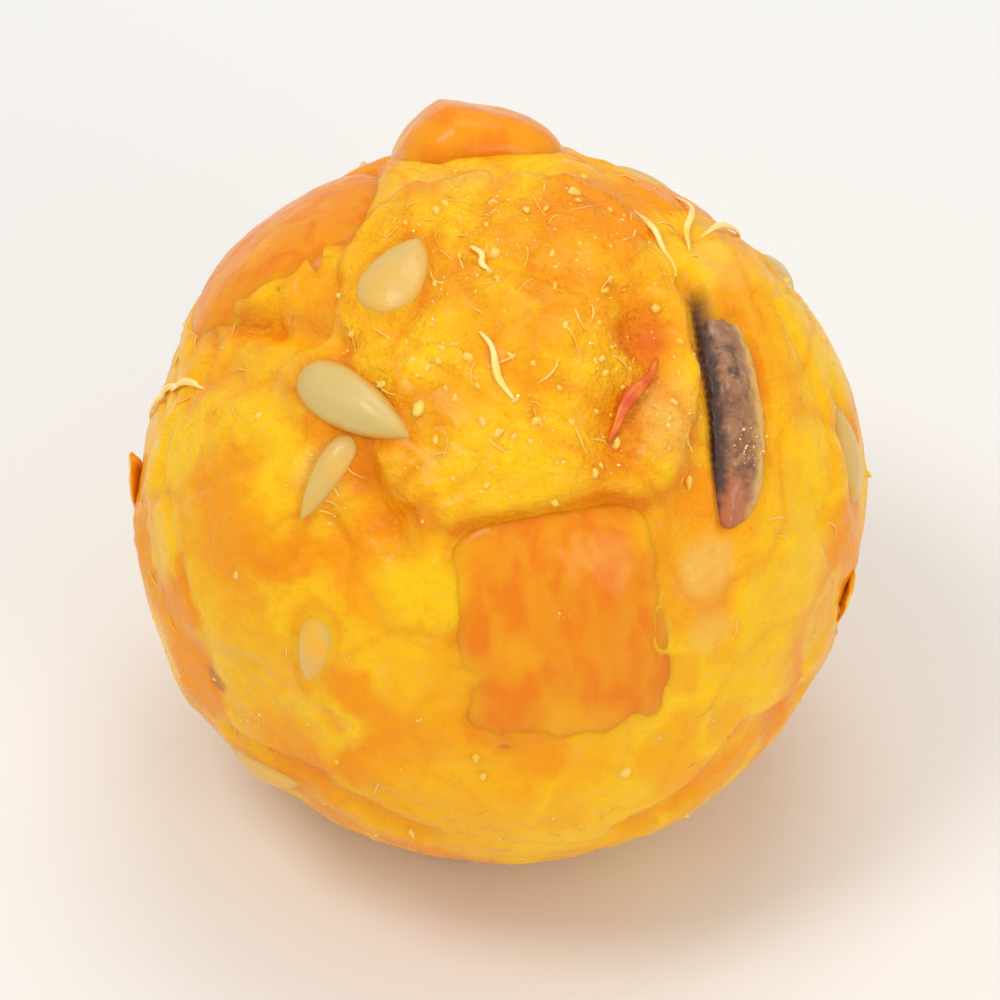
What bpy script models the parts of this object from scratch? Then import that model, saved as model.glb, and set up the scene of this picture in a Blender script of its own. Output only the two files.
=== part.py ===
"""Mango ladoo: a hand-pressed ball of mango paste and milk crumbs.

Slabs of candied mango and strips of date are pressed into pockets of the ball, and melon seed kernels,
shreds of mango and thin flakes are fused to its skin. The ball rests on a small flat spot at z = 0,
whose centre is the origin. +Z is up, and longitude 0 faces -Y.
"""

import math
import random

import bmesh
import bpy
import numpy as np
from mathutils import Vector, noise

MM = 0.001

# Driving dimensions
BALL_RADIUS = 22.0 * MM
REST_RADIUS = 9.5 * MM
BALL_CENTRE = np.array((0.0, 0.0, math.sqrt(BALL_RADIUS**2 - REST_RADIUS**2)))
GAP = 0.3 * MM

# The skin's unevenness: broad swells from the palm, and lumps of paste pressed against each other
SWELL_HEIGHT = 0.45 * MM
SWELL_LENGTH = 13.0 * MM
KNEAD_HEIGHT = 0.22 * MM
KNEAD_LENGTH = 4.5 * MM
CHUNK_COUNT = 70
CHUNK_STEP = 0.30 * MM
CREASE_WIDTH = 1.3 * MM
CREASE_DEPTH = 0.35 * MM
CHUNK_SEED = 11
CALM_LATITUDE = -38.0
CALM_SPAN = 14.0

# Mesh fineness: cells along one side of the cube that each rounded solid grows from
BALL_CELLS = 22
SLAB_CELLS = 5
SEED_CELLS = 2
FLAKE_CELLS = 2

# Raised parts of the ball: at is longitude, latitude and turn in degrees, half the half-sizes
LUMPS = {
    "crown": dict(at=(10, 71, 0), half=(10.6 * MM, 12.6 * MM), height=1.15 * MM, edge=0.14, power=3.2),
    "right_cheek": dict(at=(93, 22, 8), half=(9.0 * MM, 13.0 * MM), height=0.75 * MM, edge=0.35, power=2.4),
    "left_cheek": dict(at=(-58, 22, 20), half=(8.5 * MM, 8.0 * MM), height=0.60 * MM, edge=0.30, power=2.4),
    "chin": dict(at=(2, -22, 0), half=(15.0 * MM, 6.5 * MM), height=0.55 * MM, edge=0.50, power=2.2),
    "left_hip": dict(at=(-85, -14, 0), half=(9.5 * MM, 6.5 * MM), height=0.60 * MM, edge=0.45, power=2.2),
    "nape": dict(at=(-150, 22, -12), half=(10.0 * MM, 9.0 * MM), height=0.70 * MM, edge=0.28, power=2.6),
    "rear_cheek": dict(at=(142, -14, 15), half=(11.0 * MM, 8.0 * MM), height=0.65 * MM, edge=0.35, power=2.4),
}

# Slits and hollows: the middle line as longitudes and latitudes, and the size of the cut
SLITS = {
    "beside_date": dict(path=((87, 58), (64, 50), (51, 38), (46, 29)), width=1.5 * MM, depth=1.9 * MM),
    "under_left_slab": dict(path=((-93, 35), (-84, 49), (-66, 56)), width=1.6 * MM, depth=1.1 * MM),
    "left_of_crown": dict(path=((-50, 58), (-34, 45), (-20, 35)), width=1.8 * MM, depth=0.9 * MM),
    "peel_pit": dict(path=((54, 63), (46, 57), (28, 49)), width=3.2 * MM, depth=1.3 * MM),
    "right_nick": dict(path=((122, 34), (112, 22)), width=1.3 * MM, depth=0.8 * MM),
    "low_left_fold": dict(path=((-52, -20), (-30, -14), (-12, -22)), width=1.6 * MM, depth=0.5 * MM),
    "low_right_fold": dict(path=((22, -24), (42, -10), (60, -16)), width=1.8 * MM, depth=0.5 * MM),
    "rear_slit": dict(path=((-178, 2), (-164, 16), (-150, 8)), width=1.6 * MM, depth=1.4 * MM),
    "rear_fold": dict(path=((118, -2), (132, 12), (152, 14)), width=1.8 * MM, depth=0.8 * MM),
}

# Candied mango slabs. top is how far the middle of the outer face stands above the bare ball
SLABS = {
    "mango_slab_front": dict(at=(11, 19, 3), size=(13.8 * MM, 15.4 * MM), depth=4.6 * MM, top=0.30 * MM, power=4.2),
    "mango_slab_left": dict(at=(-113, 47, 15), size=(12.6 * MM, 16.6 * MM), depth=5.0 * MM, top=0.95 * MM, power=3.0),
    "mango_slab_top": dict(
        at=(-173, 56, 4), size=(10.8 * MM, 8.6 * MM), depth=5.2 * MM, top=1.45 * MM, power=3.4,
        ridge=0.30, rise=1.8 * MM),
    "mango_slab_rear": dict(at=(162, -8, -10), size=(12.0 * MM, 10.5 * MM), depth=4.4 * MM, top=0.60 * MM, power=3.6),
    "mango_slab_side": dict(at=(-128, -12, 14), size=(10.5 * MM, 12.0 * MM), depth=4.4 * MM, top=0.55 * MM, power=3.4),
}

# Date strips, pressed in on edge beside a slit
DATES = {
    "date_strip_right": dict(at=(62, 41, -45), size=(4.3 * MM, 15.4 * MM), depth=3.4 * MM, top=0.05 * MM, power=3.4),
    "date_strip_rear": dict(at=(-166, 22, 62), size=(3.8 * MM, 11.0 * MM), depth=3.2 * MM, top=0.45 * MM, power=3.2),
}

# Melon seed kernels: flat drops half sunk in the skin. at's turn points the sharp end
SEED_SIZE = (3.6 * MM, 7.6 * MM)
SEED_DEPTH = 2.2 * MM
SEEDS = {
    "upper": dict(at=(-63, 72, 34), scale=(1.25, 0.85), top=1.15 * MM),
    "middle": dict(at=(-39, 52, -92), scale=(0.92, 1.16), top=1.45 * MM),
    "low": dict(at=(-31, 13, 175), scale=(0.80, 0.80), top=0.60 * MM),
    "edge": dict(at=(-44, -23, -66), scale=(0.75, 1.10), top=0.80 * MM),
    "crumb": dict(at=(-38, 40, 172), scale=(0.62, 0.90), top=0.65 * MM),
}
REAR_SEED_COUNT = 6
REAR_SEED_TOP = 0.95 * MM

# Shreds of mango: start and end as longitude and latitude, the middle lifted off the skin
SHRED_RADIUS = 0.34 * MM
SHREDS = {
    "left_high": dict(path=((-112, 21), (-98, 30)), lift=0.55 * MM),
    "left_fork": dict(path=((-101, 8), (-84, 32)), lift=0.60 * MM),
    "left_low": dict(path=((-92, 24), (-80, 34)), lift=0.50 * MM),
    "right_rim": dict(path=((125, 64), (80, 62)), lift=0.70 * MM),
    "right_post": dict(path=((131, 50), (100, 58)), lift=0.80 * MM),
    "crown_long": dict(path=((-8, 68), (4, 57)), lift=0.35 * MM),
    "crown_short": dict(path=((-40, 83), (-8, 79)), lift=0.35 * MM),
    "peel": dict(path=((51, 57), (26, 49)), lift=0.90 * MM),
}
REAR_SHRED_COUNT = 6
REAR_SHRED_TURN = 17.0
SHRED_POINTS = 5
SHRED_SINK = 0.25 * MM

# Thin flakes whose free edge sticks out of the skin
FLAKE_SIZE = (4.2 * MM, 5.4 * MM, 0.9 * MM)
FLAKE_SINK = 0.6 * MM
FLAKES = {
    "left": dict(at=(-92, 1, 2), lift=0.5 * MM),
    "low_right": dict(at=(80, -12, 30), lift=0.2 * MM),
    "rear": dict(at=(176, 30, -20), lift=0.5 * MM),
    "rear_left": dict(at=(-108, -26, 12), lift=0.4 * MM),
}

# Where loose things may lie on the side away from the camera, clear of the slabs and dates
REAR_LONGITUDES = (78.0, 258.0)
REAR_LATITUDES = (-26.0, 66.0)
REAR_SEED = 5
REAR_TRIES = 400
CLEARANCE = 2.2 * MM

# Colours as linear RGB, with roughness
PASTE = ((0.90, 0.42, 0.03, 1.0), 0.45)
SLAB = ((0.88, 0.30, 0.015, 1.0), 0.30)
DATE = ((0.12, 0.035, 0.02, 1.0), 0.35)


def clear_scene():
    for thing in list(bpy.data.objects):
        bpy.data.objects.remove(thing)


def make_material(name, colour, roughness):
    material = bpy.data.materials.new(name)
    material.use_nodes = True
    shader = material.node_tree.nodes["Principled BSDF"]
    shader.inputs["Base Color"].default_value = colour
    shader.inputs["Roughness"].default_value = roughness
    shader.inputs["Metallic"].default_value = 0.0
    return material


def direction(longitude, latitude):
    """The unit vector from the ball's centre to a place on it."""
    lon, lat = math.radians(longitude), math.radians(latitude)
    return np.array((math.sin(lon) * math.cos(lat), -math.cos(lon) * math.cos(lat), math.sin(lat)))


def frame_at(longitude, latitude, turn=0.0):
    """Rows across, along and out: a frame that touches the ball, turned about its outward axis."""
    out = direction(longitude, latitude)
    lon, spin = math.radians(longitude), math.radians(turn)
    east = np.array((math.cos(lon), math.sin(lon), 0.0))
    north = np.cross(out, east)
    across = east * math.cos(spin) + north * math.sin(spin)
    along = north * math.cos(spin) - east * math.sin(spin)
    return np.array((across, along, out))


def flattened(frame, directions):
    """Each direction as distances across and along the ball from the frame's middle."""
    parts = directions @ frame.T
    angle = np.arccos(np.clip(parts[:, 2], -1.0, 1.0))
    side = np.maximum(np.hypot(parts[:, 0], parts[:, 1]), 1e-9)
    return parts[:, :2] / side[:, None] * (angle * BALL_RADIUS)[:, None]


def wrapped(frame, across, along):
    """The unit direction at these distances over the ball from the frame's middle."""
    reach = np.maximum(np.hypot(across, along), 1e-9)
    angle = reach / BALL_RADIUS
    side = (across / reach)[:, None] * frame[0] + (along / reach)[:, None] * frame[1]
    return np.cos(angle)[:, None] * frame[2] + np.sin(angle)[:, None] * side


def smooth_step(value):
    value = np.clip(value, 0.0, 1.0)
    return value * value * (3.0 - 2.0 * value)


def noise_at(points, length, offset=0.0):
    """Smooth noise from -1 to 1 whose features are about length across."""
    shift = Vector((offset, -offset, 0.5 * offset))
    return np.array([noise.noise(Vector(p / length) + shift) for p in points])


def path_points(path, step=0.6 * MM):
    """Unit directions along the great arcs that join the path's places."""
    places = [Vector(direction(*place)) for place in path]
    found = []
    for start, end in zip(places, places[1:]):
        count = max(2, math.ceil(start.angle(end) * BALL_RADIUS / step))
        found += [start.slerp(end, index / count) for index in range(count)]
    return np.array(found + [places[-1]])


def chunk_centres():
    """Middles of the lumps of paste, spread over the ball on a jittered spiral."""
    draw = random.Random(CHUNK_SEED)
    golden = math.pi * (3.0 - math.sqrt(5.0))
    centres = []
    for index in range(CHUNK_COUNT):
        height = 1.0 - 2.0 * (index + 0.5) / CHUNK_COUNT
        turn = golden * index + draw.uniform(-0.35, 0.35)
        ring = math.sqrt(1.0 - height * height)
        place = Vector((ring * math.cos(turn), ring * math.sin(turn), height + draw.uniform(-0.09, 0.09)))
        centres.append(place.normalized())
    return np.array(centres)


def chunk_relief(directions):
    """Each lump of paste sits a little higher or lower, with a crease where two meet."""
    distances = np.arccos(np.clip(directions @ chunk_centres().T, -1.0, 1.0)) * BALL_RADIUS
    nearest = np.argsort(distances, axis=1)[:, :2]
    rows = np.arange(len(directions))
    margin = distances[rows, nearest[:, 1]] - distances[rows, nearest[:, 0]]
    draw = random.Random(CHUNK_SEED + 1)
    steps = np.array([draw.uniform(-1.0, 1.0) for _ in range(CHUNK_COUNT)]) * CHUNK_STEP
    share = 0.5 + 0.5 * smooth_step(margin / (2.0 * CREASE_WIDTH))
    level = steps[nearest[:, 0]] * share + steps[nearest[:, 1]] * (1.0 - share)
    crease = 1.0 - smooth_step(margin / CREASE_WIDTH)
    top = 0.35 + 0.65 * smooth_step((directions[:, 2] + 0.1) / 0.8)
    return level - CREASE_DEPTH * crease * top


def lump_relief(directions):
    total = np.zeros(len(directions))
    for lump in LUMPS.values():
        flat = flattened(frame_at(*lump["at"]), directions)
        size = (np.abs(flat / np.array(lump["half"])) ** lump["power"]).sum(axis=1) ** (1.0 / lump["power"])
        total += lump["height"] * smooth_step((1.0 + 0.5 * lump["edge"] - size) / lump["edge"])
    return total


def slit_relief(directions):
    total = np.zeros(len(directions))
    for slit in SLITS.values():
        nearest = (directions @ path_points(slit["path"]).T).max(axis=1)
        distance = np.arccos(np.clip(nearest, -1.0, 1.0)) * BALL_RADIUS
        total -= slit["depth"] * smooth_step(1.0 - distance / slit["width"])
    return total


def ball_relief(directions):
    """How far the skin stands above the bare ball, calming down to nothing at the flat spot."""
    points = directions * BALL_RADIUS
    swell = SWELL_HEIGHT * noise_at(points, SWELL_LENGTH, 3.1)
    knead = KNEAD_HEIGHT * noise_at(points, KNEAD_LENGTH, 7.7)
    total = swell + knead + chunk_relief(directions) + lump_relief(directions) + slit_relief(directions)
    latitude = np.degrees(np.arcsin(np.clip(directions[:, 2], -1.0, 1.0)))
    return total * smooth_step((latitude - CALM_LATITUDE + CALM_SPAN) / CALM_SPAN)


def cube_sphere(cells):
    """A bmesh of the unit sphere, grown from a cube with this many cells along each side."""
    mesh = bmesh.new()
    bmesh.ops.create_cube(mesh, size=2.0)
    bmesh.ops.subdivide_edges(mesh, edges=mesh.edges, cuts=cells - 1, use_grid_fill=True)
    for vert in mesh.verts:
        vert.co = Vector(math.tan(value * math.pi / 4) for value in vert.co).normalized()
    return mesh


def unit_points(mesh):
    return np.array([vert.co for vert in mesh.verts], float)


def place(mesh, points):
    for vert, point in zip(mesh.verts, points):
        vert.co = point


def finish_object(mesh, name, material, collection=None):
    """Turns a bmesh into a smooth-shaded object."""
    data = bpy.data.meshes.new(name)
    mesh.to_mesh(data)
    mesh.free()
    data.materials.append(material)
    data.shade_smooth()
    thing = bpy.data.objects.new(name, data)
    (collection or bpy.context.scene.collection).objects.link(thing)
    return thing


def make_ball(material):
    """The pressed paste: skin relief all over, cut flat where it rests."""
    mesh = cube_sphere(BALL_CELLS)
    directions = unit_points(mesh)
    points = BALL_CENTRE + directions * (BALL_RADIUS + ball_relief(directions))[:, None]
    below = points[:, 2] < 0.12 * MM
    reach = BALL_CENTRE[2] / np.maximum(-directions[:, 2], 1e-6)
    points[below] = (BALL_CENTRE + directions * reach[:, None])[below]
    points[below, 2] = 0.0
    place(mesh, points)
    floor_faces = [face for face in mesh.faces if all(vert.co.z == 0.0 for vert in face.verts)]
    bmesh.ops.dissolve_faces(mesh, faces=floor_faces, use_verts=True)
    return finish_object(mesh, "ladoo_ball", material)


def pillow_points(directions, at, size, depth, top, power, ridge=0.0, rise=0.0, grow=0.0):
    """A soft-cornered block that lies along the ball, its outer face top above the bare ball.

    A rise lifts that face to a peak, at the share ridge of the way from its middle to its side.
    """
    norm = (np.abs(directions) ** power).sum(axis=1) ** (1.0 / power)
    block = directions / norm[:, None]
    wander = 1.0 + 0.05 * noise_at(directions, 0.9, at[0] * 0.1)
    across = block[:, 0] * (0.5 * size[0] * wander + grow)
    along = block[:, 1] * (0.5 * size[1] * wander + grow)
    dent = 0.16 * MM * noise_at(directions, 0.45, at[1] * 0.1)
    slope = 1.0 - np.abs(block[:, 0] - ridge) / (1.0 + np.sign(ridge - block[:, 0]) * ridge)
    peak = rise * slope * np.clip(block[:, 2], 0.0, 1.0)
    height = top - 0.5 * depth + block[:, 2] * (0.5 * depth + grow) + dent + peak
    radii = BALL_RADIUS + height
    return BALL_CENTRE + wrapped(frame_at(*at), across, along) * radii[:, None]


def make_pillow(name, material, shape, cells=SLAB_CELLS, grow=0.0, collection=None):
    mesh = cube_sphere(cells)
    place(mesh, pillow_points(unit_points(mesh), grow=grow, **shape))
    return finish_object(mesh, name, material, collection)


def make_seed(name, material, collection, at, scale, top):
    """A melon seed kernel: a flat drop, round at one end and pointed at the other."""
    mesh = cube_sphere(SEED_CELLS)
    directions = unit_points(mesh)
    taper = 1.0 - 0.38 * directions[:, 1]
    across = directions[:, 0] * 0.5 * SEED_SIZE[0] * scale[0] * taper
    along = directions[:, 1] * 0.5 * SEED_SIZE[1] * scale[1]
    height = top + (directions[:, 2] - 1.0) * 0.5 * SEED_DEPTH
    points = BALL_CENTRE + wrapped(frame_at(*at), across, along) * (BALL_RADIUS + height)[:, None]
    place(mesh, points)
    return finish_object(mesh, name, material, collection)


def skin_point(toward, lift):
    """The point this far above the skin in a direction from the ball's centre."""
    rows = np.array([toward])
    return BALL_CENTRE + toward * (BALL_RADIUS + ball_relief(rows)[0] + lift)


def make_shred(name, material, collection, path, lift):
    """A thin strip whose ends sink into the skin and whose middle stands off it."""
    start, end = (Vector(direction(*spot)) for spot in path)
    curve = bpy.data.curves.new(name, "CURVE")
    curve.dimensions = "3D"
    curve.bevel_depth = SHRED_RADIUS
    curve.bevel_resolution = 0
    curve.use_fill_caps = True
    spline = curve.splines.new("POLY")
    spline.points.add(SHRED_POINTS - 1)
    for index, knot in enumerate(spline.points):
        share = index / (SHRED_POINTS - 1)
        bow = math.sin(math.pi * share)
        spot = skin_point(np.array(start.slerp(end, share)), lift * bow - SHRED_SINK)
        knot.co = (*spot, 1.0)
        knot.radius = 0.75 + 0.25 * bow
    helper = bpy.data.objects.new(name + "_line", curve)
    bpy.context.scene.collection.objects.link(helper)
    bpy.context.view_layer.update()
    data = bpy.data.meshes.new_from_object(helper.evaluated_get(bpy.context.evaluated_depsgraph_get()))
    bpy.data.objects.remove(helper)
    mesh = bmesh.new()
    mesh.from_mesh(data)
    bmesh.ops.remove_doubles(mesh, verts=mesh.verts, dist=0.02 * MM)
    bmesh.ops.recalc_face_normals(mesh, faces=mesh.faces)
    return finish_object(mesh, name, material, collection)


def make_flake(name, material, collection, at, lift):
    """A wedge of skin that stands off the ball at one edge."""
    frame = frame_at(*at)
    mesh = cube_sphere(FLAKE_CELLS)
    directions = unit_points(mesh)
    across, along, height = (directions[:, axis] * 0.5 * FLAKE_SIZE[axis] for axis in range(3))
    rise = (lift + FLAKE_SINK) * (0.5 + directions[:, 1] / 2.0) - FLAKE_SINK
    middle = skin_point(frame[2], 0.0)
    points = middle + np.outer(across, frame[0]) + np.outer(along, frame[1]) + np.outer(height + rise, frame[2])
    place(mesh, points)
    return finish_object(mesh, name, material, collection)


def is_clear(toward, reach, taken):
    """True where a piece of this half-length keeps off the slabs, dates and pieces already laid."""
    for shape in [*SLABS.values(), *DATES.values()]:
        flat = np.abs(flattened(frame_at(*shape["at"]), toward[None])[0])
        if (flat < 0.5 * np.array(shape["size"]) + reach + 0.3 * CLEARANCE).all():
            return False
    return all(math.acos(np.clip(toward @ other, -1, 1)) * BALL_RADIUS > reach + room for other, room in taken)


def rear_places(count, reach, taken, draw):
    """Places on the far side by seeded draws, each clear of what lies there already."""
    found = []
    for _ in range(REAR_TRIES):
        if len(found) == count:
            break
        spot = (draw.uniform(*REAR_LONGITUDES), draw.uniform(*REAR_LATITUDES))
        toward = direction(*spot)
        if is_clear(toward, reach, taken):
            found.append((*spot, draw.uniform(0.0, 360.0)))
            taken.append((toward, reach + CLEARANCE))
    return found


def near_places():
    """What the listed seeds, shreds and flakes already cover, as directions with their reach."""
    taken = [(direction(*seed["at"][:2]), 0.5 * SEED_SIZE[1]) for seed in SEEDS.values()]
    taken += [(direction(*flake["at"][:2]), 0.5 * FLAKE_SIZE[0]) for flake in FLAKES.values()]
    for shred in SHREDS.values():
        taken += [(toward, SHRED_RADIUS) for toward in path_points(shred["path"], step=2.0 * MM)]
    return taken


def shred_path(longitude, latitude, turn):
    """Ends of a shred laid through a place at an angle."""
    heading = math.radians(turn)
    half = 0.5 * REAR_SHRED_TURN
    east = half * math.cos(heading) / math.cos(math.radians(latitude))
    north = half * math.sin(heading)
    return ((longitude - east, latitude - north), (longitude + east, latitude + north))


def fuse_toppings(ball, material):
    """Seeds, shreds and flakes joined to the ball by one union."""
    toppings = bpy.data.collections.new("toppings")
    bpy.context.scene.collection.children.link(toppings)
    for name, seed in SEEDS.items():
        make_seed("seed_" + name, material, toppings, **seed)
    for name, shred in SHREDS.items():
        make_shred("shred_" + name, material, toppings, **shred)
    for name, flake in FLAKES.items():
        make_flake("flake_" + name, material, toppings, **flake)
    draw = random.Random(REAR_SEED)
    taken = near_places()
    for index, at in enumerate(rear_places(REAR_SEED_COUNT, 0.5 * SEED_SIZE[1], taken, draw)):
        make_seed(f"seed_rear_{index}", material, toppings, at, (0.9, 0.9), REAR_SEED_TOP)
    for index, at in enumerate(rear_places(REAR_SHRED_COUNT, 0.12 * BALL_RADIUS, taken, draw)):
        make_shred(f"shred_rear_{index}", material, toppings, shred_path(*at), 0.5 * MM)
    combine(ball, toppings, "UNION")


def cut_pockets(ball, material):
    """A pocket for each slab and date, wider than the piece by the gap."""
    pockets = bpy.data.collections.new("pockets")
    bpy.context.scene.collection.children.link(pockets)
    for name, shape in [*SLABS.items(), *DATES.items()]:
        make_pillow(name + "_pocket", material, shape, grow=GAP, collection=pockets)
    combine(ball, pockets, "DIFFERENCE")


def combine(ball, others, operation):
    """Applies one Boolean of the ball with a collection, whose objects are then removed."""
    change = ball.modifiers.new(others.name, "BOOLEAN")
    change.operation = operation
    change.operand_type = "COLLECTION"
    change.collection = others
    change.solver = "EXACT"
    bpy.context.view_layer.update()
    made = bpy.data.meshes.new_from_object(ball.evaluated_get(bpy.context.evaluated_depsgraph_get()))
    ball.modifiers.clear()
    ball.data = made
    for thing in list(others.objects):
        bpy.data.objects.remove(thing)
    bpy.data.collections.remove(others)


def drop_scraps(ball):
    """Removes crumbs that a pocket has cut loose, keeping the body with the most faces, as triangles."""
    mesh = bmesh.new()
    mesh.from_mesh(ball.data)
    unseen, bodies = set(mesh.faces), []
    while unseen:
        body, front = set(), [unseen.pop()]
        while front:
            face = front.pop()
            body.add(face)
            near = {other for edge in face.edges for other in edge.link_faces} & unseen
            unseen -= near
            front.extend(near)
        bodies.append(body)
    bodies.sort(key=len)
    for body in bodies[:-1]:
        bmesh.ops.delete(mesh, geom=list(body), context="FACES")
    bmesh.ops.triangulate(mesh, faces=mesh.faces)
    mesh.to_mesh(ball.data)
    mesh.free()


def main():
    clear_scene()
    paste = make_material("mango_paste", *PASTE)
    slab = make_material("candied_mango", *SLAB)
    date = make_material("date", *DATE)
    ball = make_ball(paste)
    fuse_toppings(ball, paste)
    cut_pockets(ball, paste)
    drop_scraps(ball)
    for name, shape in SLABS.items():
        make_pillow(name, slab, shape)
    for name, shape in DATES.items():
        make_pillow(name, date, shape)


main()
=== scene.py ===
"""Looks of a mango ladoo, laid out as an add-on and run as a script.

A hand-pressed ball of mango paste and milk crumbs, with slabs of candied mango, slices of date, melon seed
kernels and shreds of mango pressed into its skin. Longitude 0 faces -Y, and latitude 90 is the top.
"""

import functools
import math
import random

import bpy
import numpy as np
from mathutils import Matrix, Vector, noise


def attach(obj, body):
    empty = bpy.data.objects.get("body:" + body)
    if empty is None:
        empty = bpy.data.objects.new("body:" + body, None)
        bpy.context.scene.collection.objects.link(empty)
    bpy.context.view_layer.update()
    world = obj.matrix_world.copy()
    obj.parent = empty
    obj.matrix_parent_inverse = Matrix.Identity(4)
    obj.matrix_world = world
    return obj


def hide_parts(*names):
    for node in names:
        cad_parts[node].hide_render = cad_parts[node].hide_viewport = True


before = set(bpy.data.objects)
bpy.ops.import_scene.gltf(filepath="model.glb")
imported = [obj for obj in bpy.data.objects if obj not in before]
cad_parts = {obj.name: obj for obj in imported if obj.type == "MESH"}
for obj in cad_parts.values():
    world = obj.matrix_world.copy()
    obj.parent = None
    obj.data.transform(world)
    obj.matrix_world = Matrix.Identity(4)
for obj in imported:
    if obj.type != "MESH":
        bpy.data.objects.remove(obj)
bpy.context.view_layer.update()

bl_info = {
    "name": "Mango ladoo",
    "version": (1, 0, 0),
    "blender": (4, 5, 0),
    "location": "3D View > Sidebar > Ladoo",
    "description": "Makes the paste, candied slabs, date slices, seeds, shreds and crumbs of a mango ladoo",
    "category": "Object",
}

MM = 0.001
FLOOR_LEVEL = 0.0
FLOOR_HALF = 0.6

# The studio: disks of soft light, an even sky and the camera at the photograph's angle
SOFTBOXES = {
    "key": dict(place=(-0.20, -0.10, 0.45), width=0.18, power=0.60),
    "overhead": dict(place=(0.06, 0.18, 0.50), width=0.30, power=0.56),
    "front_fill": dict(place=(0.30, -0.42, 0.26), width=0.28, power=0.62),
}
SKY_COLOUR = (1.0, 0.99, 0.97, 1.0)
SKY_STRENGTH = 0.66
CAMERA_ELEVATION = math.radians(42.0)
CAMERA_DISTANCE = 0.52
CAMERA_TARGET = (0.0, 0.0, 0.0202)
SEEN_WIDTH = 0.0615
SENSOR_WIDTH = 36.0

# The ball, and the places of its pieces: at is longitude, latitude and turn in degrees
BALL_RADIUS = 22.0 * MM
REST_RADIUS = 9.5 * MM
BALL_CENTRE = np.array((0.0, 0.0, math.sqrt(BALL_RADIUS**2 - REST_RADIUS**2)))
# Skin lower than this is pressed flat on the floor
PRESSED_FLAT = 0.12 * MM

# The skin's own relief, where a length is how wide its features are
SWELL_LENGTH = 13.0 * MM
KNEAD_LENGTH = 4.5 * MM
CHUNK_COUNT = 70
CHUNK_STEP = 0.30 * MM
CREASE_WIDTH = 1.3 * MM
CREASE_DEPTH = 0.35 * MM
CHUNK_SEED = 11
PATCHY_LENGTH = 7.0 * MM
FOLD_LENGTH = 6.5 * MM
WARP_LENGTH = 3.0 * MM
WARP_REACH = 1.1 * MM
TOOTH_LENGTH = 0.8 * MM
WANDER_LENGTH = 0.9 * MM
# Below this latitude the relief dies away towards the flat spot
CALM_LATITUDE = -38.0
CALM_SPAN = 14.0

LUMPS = {
    "crown": dict(at=(10, 71, 0), half=(10.6 * MM, 12.6 * MM), height=1.15 * MM, edge=0.14, power=3.2),
    "right_cheek": dict(at=(93, 22, 8), half=(9.0 * MM, 13.0 * MM), height=0.75 * MM, edge=0.35, power=2.4),
    "left_cheek": dict(at=(-58, 22, 20), half=(8.5 * MM, 8.0 * MM), height=0.60 * MM, edge=0.30, power=2.4),
    "chin": dict(at=(2, -22, 0), half=(15.0 * MM, 6.5 * MM), height=0.55 * MM, edge=0.50, power=2.2),
    "left_hip": dict(at=(-85, -14, 0), half=(9.5 * MM, 6.5 * MM), height=0.60 * MM, edge=0.45, power=2.2),
    "nape": dict(at=(-150, 22, -12), half=(10.0 * MM, 9.0 * MM), height=0.70 * MM, edge=0.28, power=2.6),
    "rear_cheek": dict(at=(142, -14, 15), half=(11.0 * MM, 8.0 * MM), height=0.65 * MM, edge=0.35, power=2.4),
}

SLITS = {
    "beside_date": dict(path=((87, 58), (64, 50), (51, 38), (46, 29)), width=1.5 * MM, depth=1.9 * MM),
    "under_left_slab": dict(path=((-93, 35), (-84, 49), (-66, 56)), width=1.6 * MM, depth=1.1 * MM),
    "left_of_crown": dict(path=((-50, 58), (-34, 45), (-20, 35)), width=1.8 * MM, depth=0.9 * MM),
    "peel_pit": dict(path=((54, 63), (46, 57), (28, 49)), width=3.2 * MM, depth=1.3 * MM),
    "right_nick": dict(path=((122, 34), (112, 22)), width=1.3 * MM, depth=0.8 * MM),
    "low_left_fold": dict(path=((-52, -20), (-30, -14), (-12, -22)), width=1.6 * MM, depth=0.5 * MM),
    "low_right_fold": dict(path=((22, -24), (42, -10), (60, -16)), width=1.8 * MM, depth=0.5 * MM),
    "rear_slit": dict(path=((-178, 2), (-164, 16), (-150, 8)), width=1.6 * MM, depth=1.4 * MM),
    "rear_fold": dict(path=((118, -2), (132, 12), (152, 14)), width=1.8 * MM, depth=0.8 * MM),
}

SLABS = {
    "mango_slab_front": dict(
        at=(11, 20, 3), size=(13.8 * MM, 16.2 * MM), depth=4.6 * MM, top=0.30 * MM, power=5.4),
    "mango_slab_left": dict(
        at=(-113, 47, 15), size=(12.6 * MM, 16.6 * MM), depth=5.0 * MM, top=0.95 * MM, power=3.0),
    "mango_slab_top": dict(
        at=(-173, 56, 4), size=(10.8 * MM, 8.6 * MM), depth=5.2 * MM, top=1.45 * MM, power=3.4,
        ridge=0.30, rise=1.8 * MM),
    "mango_slab_rear": dict(
        at=(162, -8, -10), size=(12.0 * MM, 10.5 * MM), depth=4.4 * MM, top=0.60 * MM, power=3.6),
    "mango_slab_side": dict(
        at=(-128, -12, 14), size=(10.5 * MM, 12.0 * MM), depth=4.4 * MM, top=0.55 * MM, power=3.4),
}

# How far each slab's colour leans to the paler paste
PALER = {
    "mango_slab_front": 0.0, "mango_slab_left": 0.0, "mango_slab_top": 0.15, "mango_slab_rear": 0.1,
    "mango_slab_side": 0.3,
}

DATES = {
    "date_strip_right": dict(
        at=(62, 41, -45), size=(4.3 * MM, 15.4 * MM), depth=3.4 * MM, top=0.05 * MM, power=3.4),
    "date_strip_rear": dict(
        at=(-166, 22, 62), size=(3.8 * MM, 11.0 * MM), depth=3.2 * MM, top=0.45 * MM, power=3.2),
}

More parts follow.
